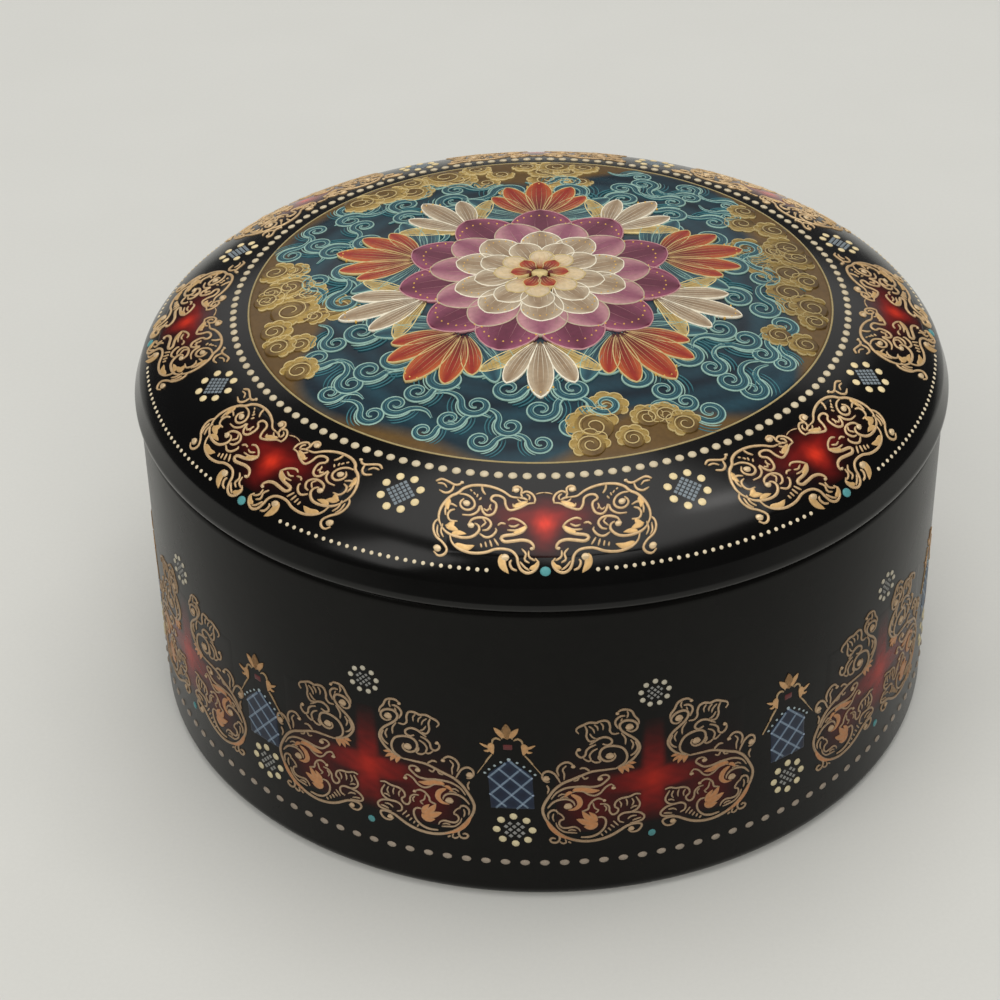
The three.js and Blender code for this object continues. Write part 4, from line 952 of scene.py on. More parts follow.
# %% The drum's scroll motif, its left half
drum_scrolls = [
    (0.44, [(745, 688), (640, 700), (520, 716), (430, 752), (340, 792), (250, 832), (170, 900),
            (112, 985), (72, 1060), (62, 1120), (85, 1195), (135, 1270), (200, 1340),
            (285, 1398), (390, 1432), (500, 1440), (620, 1420), (720, 1380), (800, 1330),
            (860, 1290), (930, 1266), (995, 1268), (1005, 1300), (965, 1345), (905, 1352),
            (872, 1325)]),
    (0.40, [(745, 688), (830, 650), (900, 605), (950, 545), (975, 485), (958, 430), (915, 385),
            (850, 345), (800, 308), (778, 262), (800, 222), (850, 206), (910, 215), (948, 250),
            (938, 295), (890, 318), (845, 300)]),
    (0.34, [(755, 132), (785, 105), (840, 98), (890, 115), (918, 165), (955, 205), (962, 245)]),
    (0.28, [(848, 112), (858, 145), (845, 180)]),
    (0.34, [(830, 158), (785, 165), (748, 195), (738, 235), (765, 285)]),
    (0.24, [(802, 182), (790, 215)]),
    (0.34, [(775, 330), (720, 338), (688, 308), (690, 262), (672, 215), (635, 203), (590, 212),
            (560, 225), (500, 220), (440, 245), (390, 270), (375, 300), (400, 328)]),
    (0.26, [(540, 240), (572, 268), (575, 300)]),
    (0.26, [(600, 225), (625, 255), (622, 295)]),
    (0.26, [(490, 255), (530, 285), (545, 325)]),
    (0.32, [(455, 250), (475, 300), (470, 360), (500, 408), (550, 395)]),
    (0.26, [(500, 330), (530, 370), (565, 380)]),
    (0.36, [(500, 440), (545, 410), (590, 380), (650, 368), (700, 390), (708, 425), (670, 450),
            (620, 435)]),
    (0.38, [(770, 672), (822, 640), (850, 600), (852, 545), (815, 485), (745, 460), (665, 462),
            (610, 495), (595, 550), (620, 595), (670, 612), (720, 598), (745, 560),
            (728, 532)]),
    (0.34, [(400, 488), (378, 508), (385, 545), (425, 570), (462, 545), (470, 500), (510, 462),
            (560, 440)]),
    (0.30, [(440, 575), (480, 605), (515, 600), (500, 555), (525, 510), (575, 480)]),
    (0.30, [(515, 600), (555, 622), (605, 612), (580, 572), (595, 545)]),
    (0.30, [(795, 330), (835, 385), (835, 445)]),
    (0.28, [(885, 400), (912, 445), (895, 495)]),
    (0.32, [(930, 420), (955, 480), (925, 535), (885, 560)]),
    (0.34, [(128, 812), (95, 815), (62, 780), (68, 730), (115, 706), (170, 730), (205, 780),
            (228, 825)]),
    (0.34, [(215, 755), (198, 695), (228, 640), (290, 615), (340, 638), (352, 668)]),
    (0.28, [(262, 795), (265, 735), (250, 690), (285, 650)]),
    (0.28, [(100, 850), (120, 890), (105, 935)]),
    (0.32, [(408, 684), (445, 674), (482, 692), (505, 716)]),
    (0.28, [(430, 755), (455, 790), (490, 772)]),
    (0.28, [(405, 768), (388, 798), (350, 806)]),
    (0.34, [(142, 992), (195, 925), (290, 878), (420, 866), (520, 872), (600, 858), (655, 815),
            (688, 778), (665, 752), (615, 756), (578, 785)]),
    (0.30, [(335, 925), (400, 905), (450, 920), (495, 950), (550, 962), (605, 935), (650, 880),
            (705, 848), (738, 872)]),
    (0.34, [(108, 1085), (165, 1025), (235, 997), (305, 998), (352, 1030), (362, 1065)]),
    (0.24, [(205, 965), (240, 942), (285, 948)]),
    (0.24, [(225, 985), (262, 968), (300, 975)]),
    (0.32, [(118, 1200), (112, 1150), (145, 1112), (188, 1112), (205, 1145)]),
    (0.26, [(165, 1145), (155, 1185), (168, 1225)]),
    (0.30, [(205, 1135), (240, 1160), (262, 1200), (228, 1215), (215, 1255), (245, 1292),
            (300, 1295), (355, 1285), (400, 1305), (415, 1335)]),
    (0.26, [(185, 1240), (205, 1290), (260, 1335), (330, 1345), (385, 1350)]),
    (0.24, [(300, 1322), (340, 1314), (375, 1325)]),
    (0.34, [(575, 1190), (630, 1188), (660, 1230), (645, 1300), (585, 1365), (505, 1395),
            (420, 1395)]),
    (0.32, [(430, 1125), (490, 1100), (500, 1058), (540, 1010), (590, 992), (640, 1012)]),
    (0.26, [(535, 1035), (550, 1090), (590, 1115), (560, 1140)]),
    (0.32, [(600, 1050), (655, 1052), (690, 1085), (692, 1130), (722, 1165), (762, 1148),
            (778, 1108), (742, 1080), (755, 1030), (805, 998), (860, 988), (900, 975),
            (940, 955), (992, 958)]),
    (0.26, [(640, 1065), (665, 1095), (650, 1125)]),
    (0.32, [(945, 985), (985, 1055), (962, 1110), (905, 1142), (830, 1152), (782, 1185),
            (785, 1235), (832, 1250)]),
    (0.25, [(785, 1025), (805, 1055), (800, 1090)]),
    (0.25, [(850, 1005), (862, 1040), (858, 1075)]),
    (0.25, [(905, 1000), (925, 1040), (905, 1075)]),
    (0.25, [(960, 1080), (925, 1085), (895, 1105)]),
    (0.34, [(905, 1145), (980, 1150), (1030, 1188), (1012, 1228), (950, 1250), (890, 1262)]),
    (0.25, [(868, 1215), (900, 1188), (955, 1180)]),
    (0.25, [(915, 1232), (960, 1215), (1000, 1205)]),
    (0.25, [(612, 1362), (632, 1385)]),
    (0.25, [(650, 1330), (668, 1356)]),
    (0.25, [(680, 1302), (708, 1330)]),
    (0.25, [(705, 1270), (742, 1300)]),
    (0.25, [(730, 1232), (778, 1280)]),
    (0.34, [(195, 1345), (222, 1400), (205, 1442), (160, 1452), (128, 1425), (150, 1400),
            (182, 1408)]),
    (0.28, [(222, 1440), (252, 1462), (285, 1445), (270, 1415)]),
    (0.28, [(300, 1440), (328, 1455)]),
]
drum_leaves = [
    (0.62, [(90, 1205), (150, 1300), (240, 1378), (370, 1428)]),
    (0.62, [(770, 672), (800, 700), (812, 742)]),
    (0.58, [(800, 662), (850, 690), (872, 728)]),
    (0.52, [(830, 648), (885, 668), (925, 690)]),
    (0.46, [(860, 628), (905, 632), (942, 632)]),
    (1.00, [(340, 905), (430, 890), (520, 912), (600, 908)]),
    (0.72, [(325, 945), (392, 985), (412, 1045), (370, 1095), (300, 1108)]),
    (1.05, [(570, 1262), (470, 1240), (378, 1205)]),
    (0.90, [(560, 1245), (480, 1185), (432, 1120)]),
    (0.95, [(580, 1240), (520, 1290), (448, 1284)]),
    (0.70, [(570, 1238), (545, 1180), (498, 1132)]),
    (0.50, [(345, 920), (300, 935), (262, 975)]),
]
drum_knobs = [(905, 1318, 27), (872, 272, 37), (690, 560, 38), (400, 490, 19), (96, 782, 32),
              (348, 660, 20), (600, 790, 25), (728, 886, 20), (300, 1070, 38), (642, 1014, 16),
              (755, 135, 16)]
print(len(drum_scrolls) + len(drum_leaves) + len(drum_knobs), "shapes in the drum's half motif")

# %% Painting the motifs


def paint_motif(brush, chart, sketch, scrolls, leaves, knobs, gold, scale):
    """Paints both halves of a motif on one board; scale is sketch units per mm.

    Lines take the first of three golds, knobs the second, and leaves the third.
    """
    plain, light, warm = gold
    for side in (-1, 1):
        flip = np.array([side, 1.0])
        for width, points in scrolls:
            path = smooth_path(sketch(points) * flip, 0.26)
            brush.stroke(chart, path, tapered(len(path), width, 0.6, 0.6), plain)
        for width, points in leaves:
            path = smooth_path(sketch(points) * flip, 0.22)
            half = leaf_width(len(path), width)
            brush.leaf(chart, path, half, warm, 0.5 * (warm + plain), veins=3)
        for x, y, radius in knobs:
            x, y = (sketch([(x, y)]) * flip)[0]
            brush.knob(chart, x, y, radius / scale, light)


lid_places = 0.4 + 45.0 * np.arange(8)
front_places = np.array([-60.9, -24.2, 14.6, 54.9])
drum_places = np.concatenate([front_places, np.linspace(54.9, 299.1, 7)[1:-1]])
drum_between = drum_places + np.diff(np.append(drum_places, 299.1)) / 2 + 0.4
cartouche_radius = 43.8

lid_boards = [lid_chart(turn, cartouche_radius) for turn in lid_places]
drum_boards = [drum_chart(turn, cross_level) for turn in drum_places]
lid_brush = Brush()
for board in lid_boards:
    paint_motif(lid_brush, board, lid_sketch, lid_scrolls, lid_leaves, lid_knobs, lid_gold, 60)
# The drum's scrolls take the darker gold, which carries painted shade
drum_brush = Brush()
for board in drum_boards:
    paint_motif(drum_brush, board, drum_sketch, drum_scrolls, drum_leaves, drum_knobs,
                drum_gold_with_painted_shade, 75)
dress(lid_brush.piece("lid_scrollwork"), "lid", gold_print)
dress(drum_brush.piece("drum_scrollwork"), "box", gold_print)

# %% [markdown]
# ## Glow behind the gold
#
# Each motif has a heart of red enamel that fades from ember to the black of the glaze. It is one
# thin sheet whose colour is worked out from the distance to the heart and to its arms.

# %% Helpers for painted glow


def mix(share, first, second):
    """Between two colours by a share (0 to 1) that varies over a grid."""
    share = np.clip(share, 0, 1)[..., None]
    return (1 - share) * first + share * second


def hill(x, width):
    """A smooth hump: 1 at zero, fading like a bell over a width."""
    return np.exp(-(x / width) ** 2)


def red_grid(half_wide, low, high, columns, rows):
    """A grid of x and y, and an edge value: 1 inside, falling to 0 at the grid's border."""
    x, y = np.meshgrid(np.linspace(-half_wide, half_wide, columns), np.linspace(low, high, rows))
    across = np.abs(x) / half_wide
    up = np.abs(2 * y - low - high) / (high - low)
    return x, y, np.minimum(1 - across ** 6, 1 - up ** 6)


def red_sheet(name, boards, x, y, colours, edge):
    """The sheet on each board: sunk where edge is 0, and at full height where it passes a half."""
    return field(name, boards, x, y, colours,
                 -SINK + (THIN_COAT + SINK) * np.clip(2 * edge, 0, 1))


def clouded(x, y, size):
    """An uneven share, near 1, made of crossing waves: paint that ran thick and thin."""
    waves = np.sin(x / size + 1.7 * np.sin(y / size)) * np.sin(1.3 * y / size + 0.6 * x)
    return 0.82 + 0.18 * waves


# %% The lid's hearts and the drum's crosses
lid_red_half = 11.6
x, y, edge = red_grid(lid_red_half, -4.4, 4.6, 110, 50)
arms = hill(y - 0.9, 1.3) * hill(x, 4.6)
stem = hill(x, 1.35) * hill(y + 0.4, 3.0)
veil = 0.75 * hill(y - 0.6, 2.8) * hill(x, 8.5) * (1 - (x / lid_red_half) ** 4)
colours = mix(veil * clouded(x, y, 0.7), lid_soot, wine)
colours = mix(0.8 * np.maximum(arms, stem) * clouded(x, y, 0.45), colours, red)
colours = mix(0.95 * hill(np.hypot(x, y), 1.15) * clouded(y, x, 0.3), colours, ember)
colours = mix(1 - edge, colours, lid_soot)
dress(red_sheet("lid_red_enamel", lid_boards, x, y, colours, edge), "lid", red_on_lid)

x, y, edge = red_grid(12.2, -7.6, 9.5, 86, 62)
side_arm = np.exp(-(y / (1.75 - 0.06 * np.abs(x))) ** 6)
side_arm *= 1 - np.clip(np.abs(x) / 6.4, 0, 1) ** 3
up_arm = np.exp(-(x / (1.45 - 0.04 * y)) ** 6)
up_arm *= np.where(y > 0, 1 - np.clip(y / 10.6, 0, 1) ** 2, 1 - np.clip(-y / 6.8, 0, 1) ** 3)
lobes = hill(np.hypot(np.abs(x) - 7.8, y + 3.2), 5.6)
colours = mix(0.7 * lobes * clouded(x, y, 0.8), soot, wine)
colours = mix(0.4 * hill(np.hypot(np.abs(x) - 7.2, y + 3.0), 3.2), colours, red * 0.5)
cross = np.maximum(side_arm * hill(x, 7.0), up_arm * hill(y + 0.5, 7.5))
colours = mix(0.9 * cross * clouded(x, y, 0.5), colours, red * 0.88)
colours = mix(0.45 * hill(np.hypot(x, y), 1.6), colours, ember * 0.65)
colours = mix(1 - edge, colours, soot)
dress(red_sheet("drum_red_enamel", drum_boards, x, y, colours, edge), "box", red_on_drum)

# %% [markdown]
# ## Dots
#
# Rows of raised dots ring the picture, the lid's edge and the drum's foot, and small flowers of
# dots fill the gaps between motifs. All are beads of enamel. Each could be a small sphere, but
# hundreds of objects are slow to handle, so a row is one mesh of equal low domes.

# %% Rows of dots
inner_dots_radius = 37.7
edge_dots_radius = 48.6
motif_reach_deg = 6.4
foot_dots_level = 5.8


def all_round(count):
    """Azimuths in degrees of a count of places, evenly round from the front."""
    return np.linspace(0, 360, count, endpoint=False)


inner_row = [(lid_chart(turn, inner_dots_radius), 0, 0, 0.56, 0.49, 0.2)
             for turn in all_round(148)]
dress(beads("lid_inner_dots", inner_row, beige), "lid")

edge_turns = all_round(300)
from_motif = np.abs((edge_turns[:, None] - lid_places + 180) % 360 - 180).min(axis=1)
edge_row = [(lid_chart(turn, edge_dots_radius), 0, 0, 0.26, 0.26, 0.1)
            for turn in edge_turns[from_motif > motif_reach_deg]]
dress(beads("lid_edge_dots", edge_row, cream, 8), "lid")

foot_row = [(drum_chart(turn, foot_dots_level), 0, 0, 0.62, 0.44, 0.18)
            for turn in all_round(135)]
dress(beads("drum_foot_dots", foot_row, stone), "box")

teal_lid = [(board, 0, -5.65, 0.64, 0.58, 0.14) for board in lid_boards]
dress(beads("lid_teal_dots", teal_lid, teal), "lid")
# Painted shade: the drum's teal dots take the lid's teal made darker for the upright wall
teal_drum = [(board, 0, -8.5, 0.5, 0.55, 0.12) for board in drum_boards]
dress(beads("drum_teal_dots", teal_drum, 0.7 * teal), "box")

# %% Flowers of dots


def flower_spots(boards, petals, radius, bead_radius, offset=0.0):
    """Beads evenly round a circle on each board, the first a share of a step from its top."""
    turns = 2 * np.pi * (np.arange(petals) + offset) / petals
    return [(chart, radius * math.sin(turn), radius * math.cos(turn), bead_radius, bead_radius,
             0.16) for chart in boards for turn in turns]


shield_lean = 0.05
lid_flower_radius = 41.8
drum_flower_level = 10.9
top_flower_level = 30.2
lid_flowers = [lid_chart(turn + 22.5, lid_flower_radius) for turn in lid_places]
drum_flowers = [drum_chart(turn, drum_flower_level, shield_lean) for turn in drum_between]
top_flowers = [drum_chart(turn, top_flower_level) for turn in drum_places]
spots = flower_spots(lid_flowers, 8, 2.25, 0.52, 0.5)
dress(beads("lid_flower_dots", spots, linear(232, 212, 164)), "lid")
spots = flower_spots(drum_flowers, 8, 2.1, 0.5)
dress(beads("drum_flower_dots", spots, linear(196, 184, 148)), "box")
spots = flower_spots(top_flowers, 9, 1.66, 0.36)
dress(beads("drum_top_flower_dots", spots, linear(176, 170, 152)), "box")


def lozenges(boards, radius, step, size, shift=0):
    """Four-sided beads on a lattice: x = (a + b + shift) step / 2, y = (a - b) step / 2."""
    a, b = np.meshgrid(np.arange(-4, 5), np.arange(-4, 5))
    x = ((a + b + shift) * step / 2).ravel()
    y = ((a - b) * step / 2).ravel()
    inside = np.hypot(x, y) < radius
    return [(chart, across, up, size, size, 0.07)
            for chart in boards for across, up in zip(x[inside], y[inside])]


spots = lozenges(lid_flowers, 1.5, 0.74, 0.31)
dress(beads("lid_flower_nets", spots, linear(124, 134, 140), 4), "lid")
spots = lozenges(drum_flowers, 1.3, 0.96, 0.33, 1) + lozenges(top_flowers, 1.0, 0.74, 0.25, 1)
dress(beads("drum_flower_nets", spots, ash, 4), "box")

# %% [markdown]
# ## Blue shields
#
# Between the drum's motifs stand small shields under a gold crown. A shield is a blue sheet
# with a pointed top, netted with pale lines. Its half width is constant up to the shoulder and
# then falls along a slightly bowed slope to the point.

# %% Shields
shield_bottom = 14.1
shield_shoulder = 19.2
shield_top = 21.5
shield_half = 2.65
cell_wide = 2.45
cell_tall = 2.6


def shield_reach(level):
    """Half width at a height: full below the shoulder, then a slope that meets in a point."""
    t = np.clip((level - shield_shoulder) / (shield_top - shield_shoulder), 0, 1)
    return shield_half * np.maximum(1 - t ** 1.25, 0.03)


across, y = np.meshgrid(np.linspace(-1, 1, 25), np.linspace(shield_bottom, shield_top, 36))
x = shield_reach(y) * across
slant_a = x / cell_wide + (y - shield_top) / cell_tall
slant_b = x / cell_wide - (y - shield_top) / cell_tall
cell = np.abs(np.sin(np.pi * slant_a) * np.sin(np.pi * slant_b))
colours = mix(1 - cell ** 0.7, blue_dark, blue)
shield_boards = [drum_chart(turn, 0.0, shield_lean) for turn in drum_between]
dress(field("drum_shields", shield_boards, x, y, colours, height=0.04), "box")

# %% Nets and their knots
nets = Brush()
for board in shield_boards:
    for lean in (-1, 1):
        for turn in range(-5, 6):
            run = np.linspace(-shield_half, shield_half, 45)
            line = np.stack([run, shield_top + cell_tall * (turn + lean * run / cell_wide)], 1)
            inside = ((np.abs(run) <= shield_reach(line[:, 1]) - 0.05)
                      & (line[:, 1] > shield_bottom + 0.1) & (line[:, 1] < shield_top - 0.1))
            if inside.sum() > 5:
                path = line[inside][::3]
                nets.stroke(board, path, np.full(len(path), 0.18), blue_pale, 0.09)
dress(nets.piece("drum_blue_nets"), "box")
knots = [(board, (a + b) * cell_wide / 2, shield_top + (a - b) * cell_tall / 2, 0.2, 0.18, 0.13)
         for board in shield_boards for a in range(-3, 3) for b in range(-1, 4)]
knots = [k for k in knots if shield_bottom < k[2] < shield_top + 0.1
         and abs(k[1]) < shield_reach(k[2]) + 0.1]
dress(beads("drum_net_knots", knots, linear(136, 150, 168), 6), "box")

# %% [markdown]
# ## Crowns of the shields
#
# A gold crown with side brackets sits on each shield, with a small brick-red block at its foot
# and pale beads down the slopes. It is drawn with the same brush as the big motifs, from a
# sketch in millimetres, because its lines are of the same paint.

# %% Shield crowns, brackets and edging
crown_scrolls = [
    (0.30, [(0.75, 24.55), (1.2, 24.8), (1.65, 24.5), (1.75, 23.9)]),
    (0.26, [(1.85, 22.4), (2.4, 21.6), (2.8, 20.9)]),
    (0.13, [(2.8, 20.9), (3.3, 20.1), (3.8, 19.3)]),
    (0.26, [(0.55, 25.3), (0.6, 24.75)]),
]
crown_leaves = [
    (1.25, [(0.0, 24.7), (0.0, 25.7), (0.0, 27.0)]),
    (0.74, [(0.2, 25.1), (0.8, 25.6), (1.4, 26.35)]),
    (0.40, [(0.15, 24.95), (0.7, 25.2), (1.15, 25.75)]),
    (0.86, [(1.75, 24.1), (1.95, 23.3), (1.7, 22.4)]),
    (0.36, [(1.9, 23.4), (2.5, 23.5), (3.2, 23.9)]),
    (0.36, [(2.0, 23.1), (2.4, 22.8), (2.8, 22.9)]),
]


def as_drawn(points):
    """The crowns are sketched in millimetres, so their points stay as they are."""
    return np.asarray(points, float)


# The crowns take a darker gold, which carries painted shade
crowns = Brush()
for board in shield_boards:
    paint_motif(crowns, board, as_drawn, crown_scrolls, crown_leaves, [], crown_gold_with_painted_shade, 1)
dress(crowns.piece("drum_shield_crowns"), "box", gold_print)

slopes = np.linspace(shield_shoulder + 0.1, shield_top - 0.45, 4)
edging = [(board, side * (shield_reach(level) + 0.3), level + 0.15, 0.2, 0.17, 0.1)
          for board in shield_boards for side in (-1, 1) for level in slopes]
edging += [(board, 0.0, shield_top + 0.15, 0.26, 0.24, 0.12) for board in shield_boards]
dress(beads("drum_shield_edging", edging, linear(146, 160, 162), 8), "box")

x, y = np.meshgrid(np.linspace(-0.6, 0.6, 7), np.linspace(23.0, 23.95, 5))
brick = np.broadcast_to(linear(92, 42, 42), (*x.shape, 3))
dress(field("drum_shield_keystones", shield_boards, x, y, brick, height=0.06), "box")

# %% [markdown]
# ## The picture in the middle
#
# The middle of the lid carries a painted picture, some 72 mm across, in ochre, sea green, plum,
# ivory and scarlet. Here it is a garden motif of common parts: a full-blown flower on curling
# waters inside a ring of clouds. It is built as a miniature painter works, from the ground up,
# each layer a hair's breadth above the last: ground, clouds, waves, sprays, petals, fine lines.
# The ground is a disc of rings, because a square grid would leave a ragged rim.

# %% Board, palette and ground of the picture
picture_radius = 35.8
night = linear(12, 30, 42)
deep = linear(28, 62, 74)
water = linear(62, 112, 120)
foam = linear(150, 184, 172)
ochre = linear(166, 138, 74)
ochre_light = linear(208, 186, 130)
ochre_dark = linear(98, 74, 38)
plum = linear(92, 28, 52)
rose = linear(154, 82, 108)
blush = linear(196, 146, 148)
ivory = linear(196, 180, 154)
sand = linear(146, 122, 94)
scarlet = linear(142, 30, 20)
orange = linear(192, 100, 48)


def plan(x, y, height):
    """A point of the picture from its place in plan, x to the right, y to the back.

    What would run over the rim is drawn in to it.
    """
    radius = np.minimum(np.hypot(x, y), picture_radius + 0.16)
    return on_lid(np.arctan2(x, -y), length_at_radius(radius), height)


def shore(turn):
    """Radius at which water gives way to cloud: a circle with deep slow bays."""
    turn = (turn + np.pi) % (2 * np.pi) - np.pi
    bays = 30.4 + 4.2 * np.sin(4 * turn + 4.2) + 1.6 * np.sin(7 * turn + 2.0)
    return bays + 7.0 * np.exp(-(turn / 0.32) ** 2) + 3.0 * np.exp(-((turn - 1.5) / 0.25) ** 2)


def disc(name, rings, segments, colour_at):
    """A round painted sheet: rings of points round a middle one, closed below by a fan."""
    r = picture_radius * np.sqrt(np.linspace(0, 1, rings + 1)[1:])
    turn = np.linspace(0, 2 * np.pi, segments, endpoint=False)
    x = r[:, None] * np.sin(turn)
    y = -r[:, None] * np.cos(turn)
    level = np.full(x.shape, THIN_COAT)
    level[-1] = -SINK
    grid = plan(x, y, level).reshape(-1, 3)
    middle = plan(np.zeros(2), np.full(2, -1e-6), np.array([THIN_COAT, -3.0]))
    quads = grid_quads(rings, segments, wrap_columns=True)[:, ::-1]
    size = rings * segments
    tris = np.concatenate([fan(0, segments, size),
                           fan(size - segments, segments, size + 1, turned_over=True)])
    made = make_piece(name, np.concatenate([grid, middle]), quads, tris)
    colours = colour_at(x, y).reshape(-1, 3)
    return paint(made, np.concatenate([colours, colours[:1], colours[:1]]))


def ground_colour(x, y):
    """Night blue with rippling lights, turning to dark ochre beyond the shore."""
    r = np.hypot(x, y)
    turn = np.arctan2(x, -y)
    ripple = 0.5 + 0.5 * np.sin(1.3 * r + 2.0 * np.sin(5 * turn)) * np.sin(0.6 * r - 4 * turn)
    return mix((r - shore(turn)) / 2.0, mix(ripple, night, deep), ochre_dark)


dress(disc("picture_ground", 80, 320, ground_colour), "lid")

# %% [markdown]
# ## Clouds
#
# Heads of ochre cloud crowd the rim. Each is a broad round leaf with small lobes along its front
# and a curl of light and dark line wound on it. Chance varies their size, place and lean, as a
# painter's hand would, from a fixed seed, so that every run paints the same sky.

# %% One cloud


def turned_to(points, x, y, turn):
    """Moves a shape drawn upright at the origin to (x, y), its top pointing to the turn."""
    points = np.asarray(points, float)
    c, s = math.cos(turn), math.sin(turn)
    return np.stack([x + c * points[:, 0] + s * points[:, 1],
                     y - s * points[:, 0] + c * points[:, 1]], 1)


def arc(radius, start_deg, stop_deg, count):
    """Points on a circle round the origin, their turns measured from its top to the right."""
    turn = np.radians(np.linspace(start_deg, stop_deg, count))
    return np.stack([radius * np.sin(turn), radius * np.cos(turn)], 1)


def cloud(brush, x, y, size, turn, hand, rise):
    """A cloud head: small lobes along its front, a round body, and a curl that winds inwards.

    Clouds are painted darker towards the right of the picture: painted shade.
    """
    # Painted shade: a factor that darkens every cloud colour towards the right of the picture
    painted_shade_factor = 1 - 0.35 * max(0.0, x) / picture_radius
    for spot, lobe in ((-100, 0.36), (-62, 0.44), (-20, 0.5), (24, 0.47), (66, 0.42), (104, 0.34)):
        side, ahead = math.sin(math.radians(spot)), math.cos(math.radians(spot))
        place = turned_to([(0.74 * size * side * hand, 0.74 * size * ahead)], x, y, turn)[0]
        brush.knob(plan, place[0], place[1], lobe * size, painted_shade_factor * ochre, rise - 0.045)
        rim = turned_to(arc(lobe * size * 0.92, spot * hand - 80, spot * hand + 80, 7),
                        place[0], place[1], turn)
        brush.stroke(plan, rim, tapered(7, 0.17, 0.4, 0.4), painted_shade_factor * ochre_light, rise + 0.045)
    t = np.linspace(-1, 1, 13)
    path = turned_to(np.stack([0 * t, 0.8 * size * t], 1), x, y, turn)
    half = 0.8 * size * np.sqrt(np.maximum(1 - t ** 2, 0.01))
    brush.leaf(plan, path, half, painted_shade_factor * ochre_dark, painted_shade_factor * ochre, rise, 0.02,
               base=painted_shade_factor * ochre_dark)
    for share, colour, width in ((0.74, ochre_light, 0.22), (0.6, ochre_dark, 0.18)):
        winding = curl(0.0, 0.0, size * share, 200, -1.55) * np.array([hand, 1.0])
        path = turned_to(winding, x, y, turn)
        brush.stroke(plan, path, tapered(len(path), width, 0.3, 0.5), painted_shade_factor * colour, rise + 0.05)


def ring_places(count, offset=0.0):
    """Turns of a count of places round a ring, the first an offset share of a step on."""
    return 2 * np.pi * (np.arange(count) + offset) / count


def at(radius, turn):
    """A place in the picture by its radius and its turn from the front, to the right."""
    return radius * math.sin(turn), -radius * math.cos(turn)


# %% Rows of clouds
chance = np.random.default_rng(11)
clouds = Brush()
rows = [(25.4, 27, 1.95, 27.0), (28.2, 31, 2.1, 29.4), (30.9, 36, 2.25, 31.4),
        (33.5, 44, 2.3, 32.6)]
for row, (radius, count, size, limit) in enumerate(rows):
    for i, turn in enumerate(ring_places(count, 0.5 * (row % 2))):
        if shore(turn) < limit:
            size_here = size * (0.78 + 0.62 * chance.random() ** 2)
            aside = turn + 0.11 * (chance.random() - 0.5)
            x, y = at(min(radius + 0.9 * (chance.random() - 0.5), picture_radius - size_here),
                      aside)
            inward = math.atan2(-x, -y)
            lean = 1.1 * (chance.random() - 0.5)
            cloud(clouds, x, y, size_here, inward + lean, (-1) ** (i + row),
                  0.05 + 0.035 * row + 0.008 * (i % 4))
dress(clouds.piece("picture_clouds"), "lid")

# %% [markdown]
# ## Water
#
# The water is rows of crests that wind up into spirals. A spiral is a circle whose radius
# shrinks as it turns, and a smooth path joins it to a tail. Foam lines are offsets of that
# path, so they keep to the wave however it turns. Rows nearer the middle lie a little higher.

# %% One wave


def wave(brush, x, y, size, turn, hand, rise):
    """A crest that winds up from its tail into a spiral, with foam lines and a wake."""
    t = np.linspace(0, 1, 22)
    angle = np.pi * (1 - 2.6 * t)
    r = 1 - 0.8 * t
    spiral = np.stack([r * np.cos(angle), r * np.sin(angle)], 1)
    tail = np.array([(-3.0, -1.0), (-2.2, -1.2), (-1.5, -0.95), (-1.1, -0.45)])
    whole = smooth_path(np.vstack([tail, spiral]) * size, 0.3) * np.array([hand, 1.0])
    half = tapered(len(whole), 0.62 * size, 0.2, 0.15, 0.5)
    path = turned_to(whole, x, y, turn)
    brush.leaf(plan, path, half, deep, water, rise, 0.03)
    side = sideways(path) * (half * hand)[:, None]
    for share, width, colour in ((0.86, 0.24, foam), (-0.1, 0.15, water), (-0.7, 0.14, foam)):
        line = path + share * side
        brush.stroke(plan, line, tapered(len(line), width, 0.4, 0.5), colour, rise + 0.045)
    for share, end, colour in ((1.38, -22, foam), (1.66, -32, water), (1.94, -42, water)):
        wake = arc(size * share, -112, end, 12) * np.array([hand, 1.0])
        line = turned_to(wake, x, y, turn)
        brush.stroke(plan, line, tapered(len(line), 0.2, 0.2, 0.2), colour, rise + 0.02)


# %% Rows of waves
outer_waves = Brush()
inner_waves = Brush()
rows = [(32.9, 30, 1.5), (30.3, 27, 1.6), (27.4, 23, 1.75), (24.0, 20, 1.85), (20.6, 17, 1.9),
        (17.2, 14, 1.9)]
for row, (radius, count, size) in enumerate(rows):
    for i, turn in enumerate(ring_places(count, 0.5 * (row % 2))):
        if radius < shore(turn) + 0.6:
            size_here = size * (0.88 + 0.26 * chance.random())
            x, y = at(radius, turn)
            outward = math.atan2(x, y)
            hand = 1 if (i + row) % 3 else -1
            lean = 0.7 * (chance.random() - 0.5)
            wave(outer_waves if row < 2 else inner_waves, x, y, size_here, outward + lean, hand,
                 0.04 + 0.035 * row + 0.012 * (i % 2))
dress(outer_waves.piece("picture_outer_waves"), "lid")
dress(inner_waves.piece("picture_inner_waves"), "lid")

# %% [markdown]
# ## The flower and its sprays
#
# One petal serves every flower: a leaf with a blunt tip, an outline and a few veins. Its half
# width is a power of a sine along its spine. Rings of petals, each ring half a step on and a
# little higher, make the bloom, and fans of them make the sprays. Modelled petals would stand
# up from the lid, and these are paint.

# %% Petals


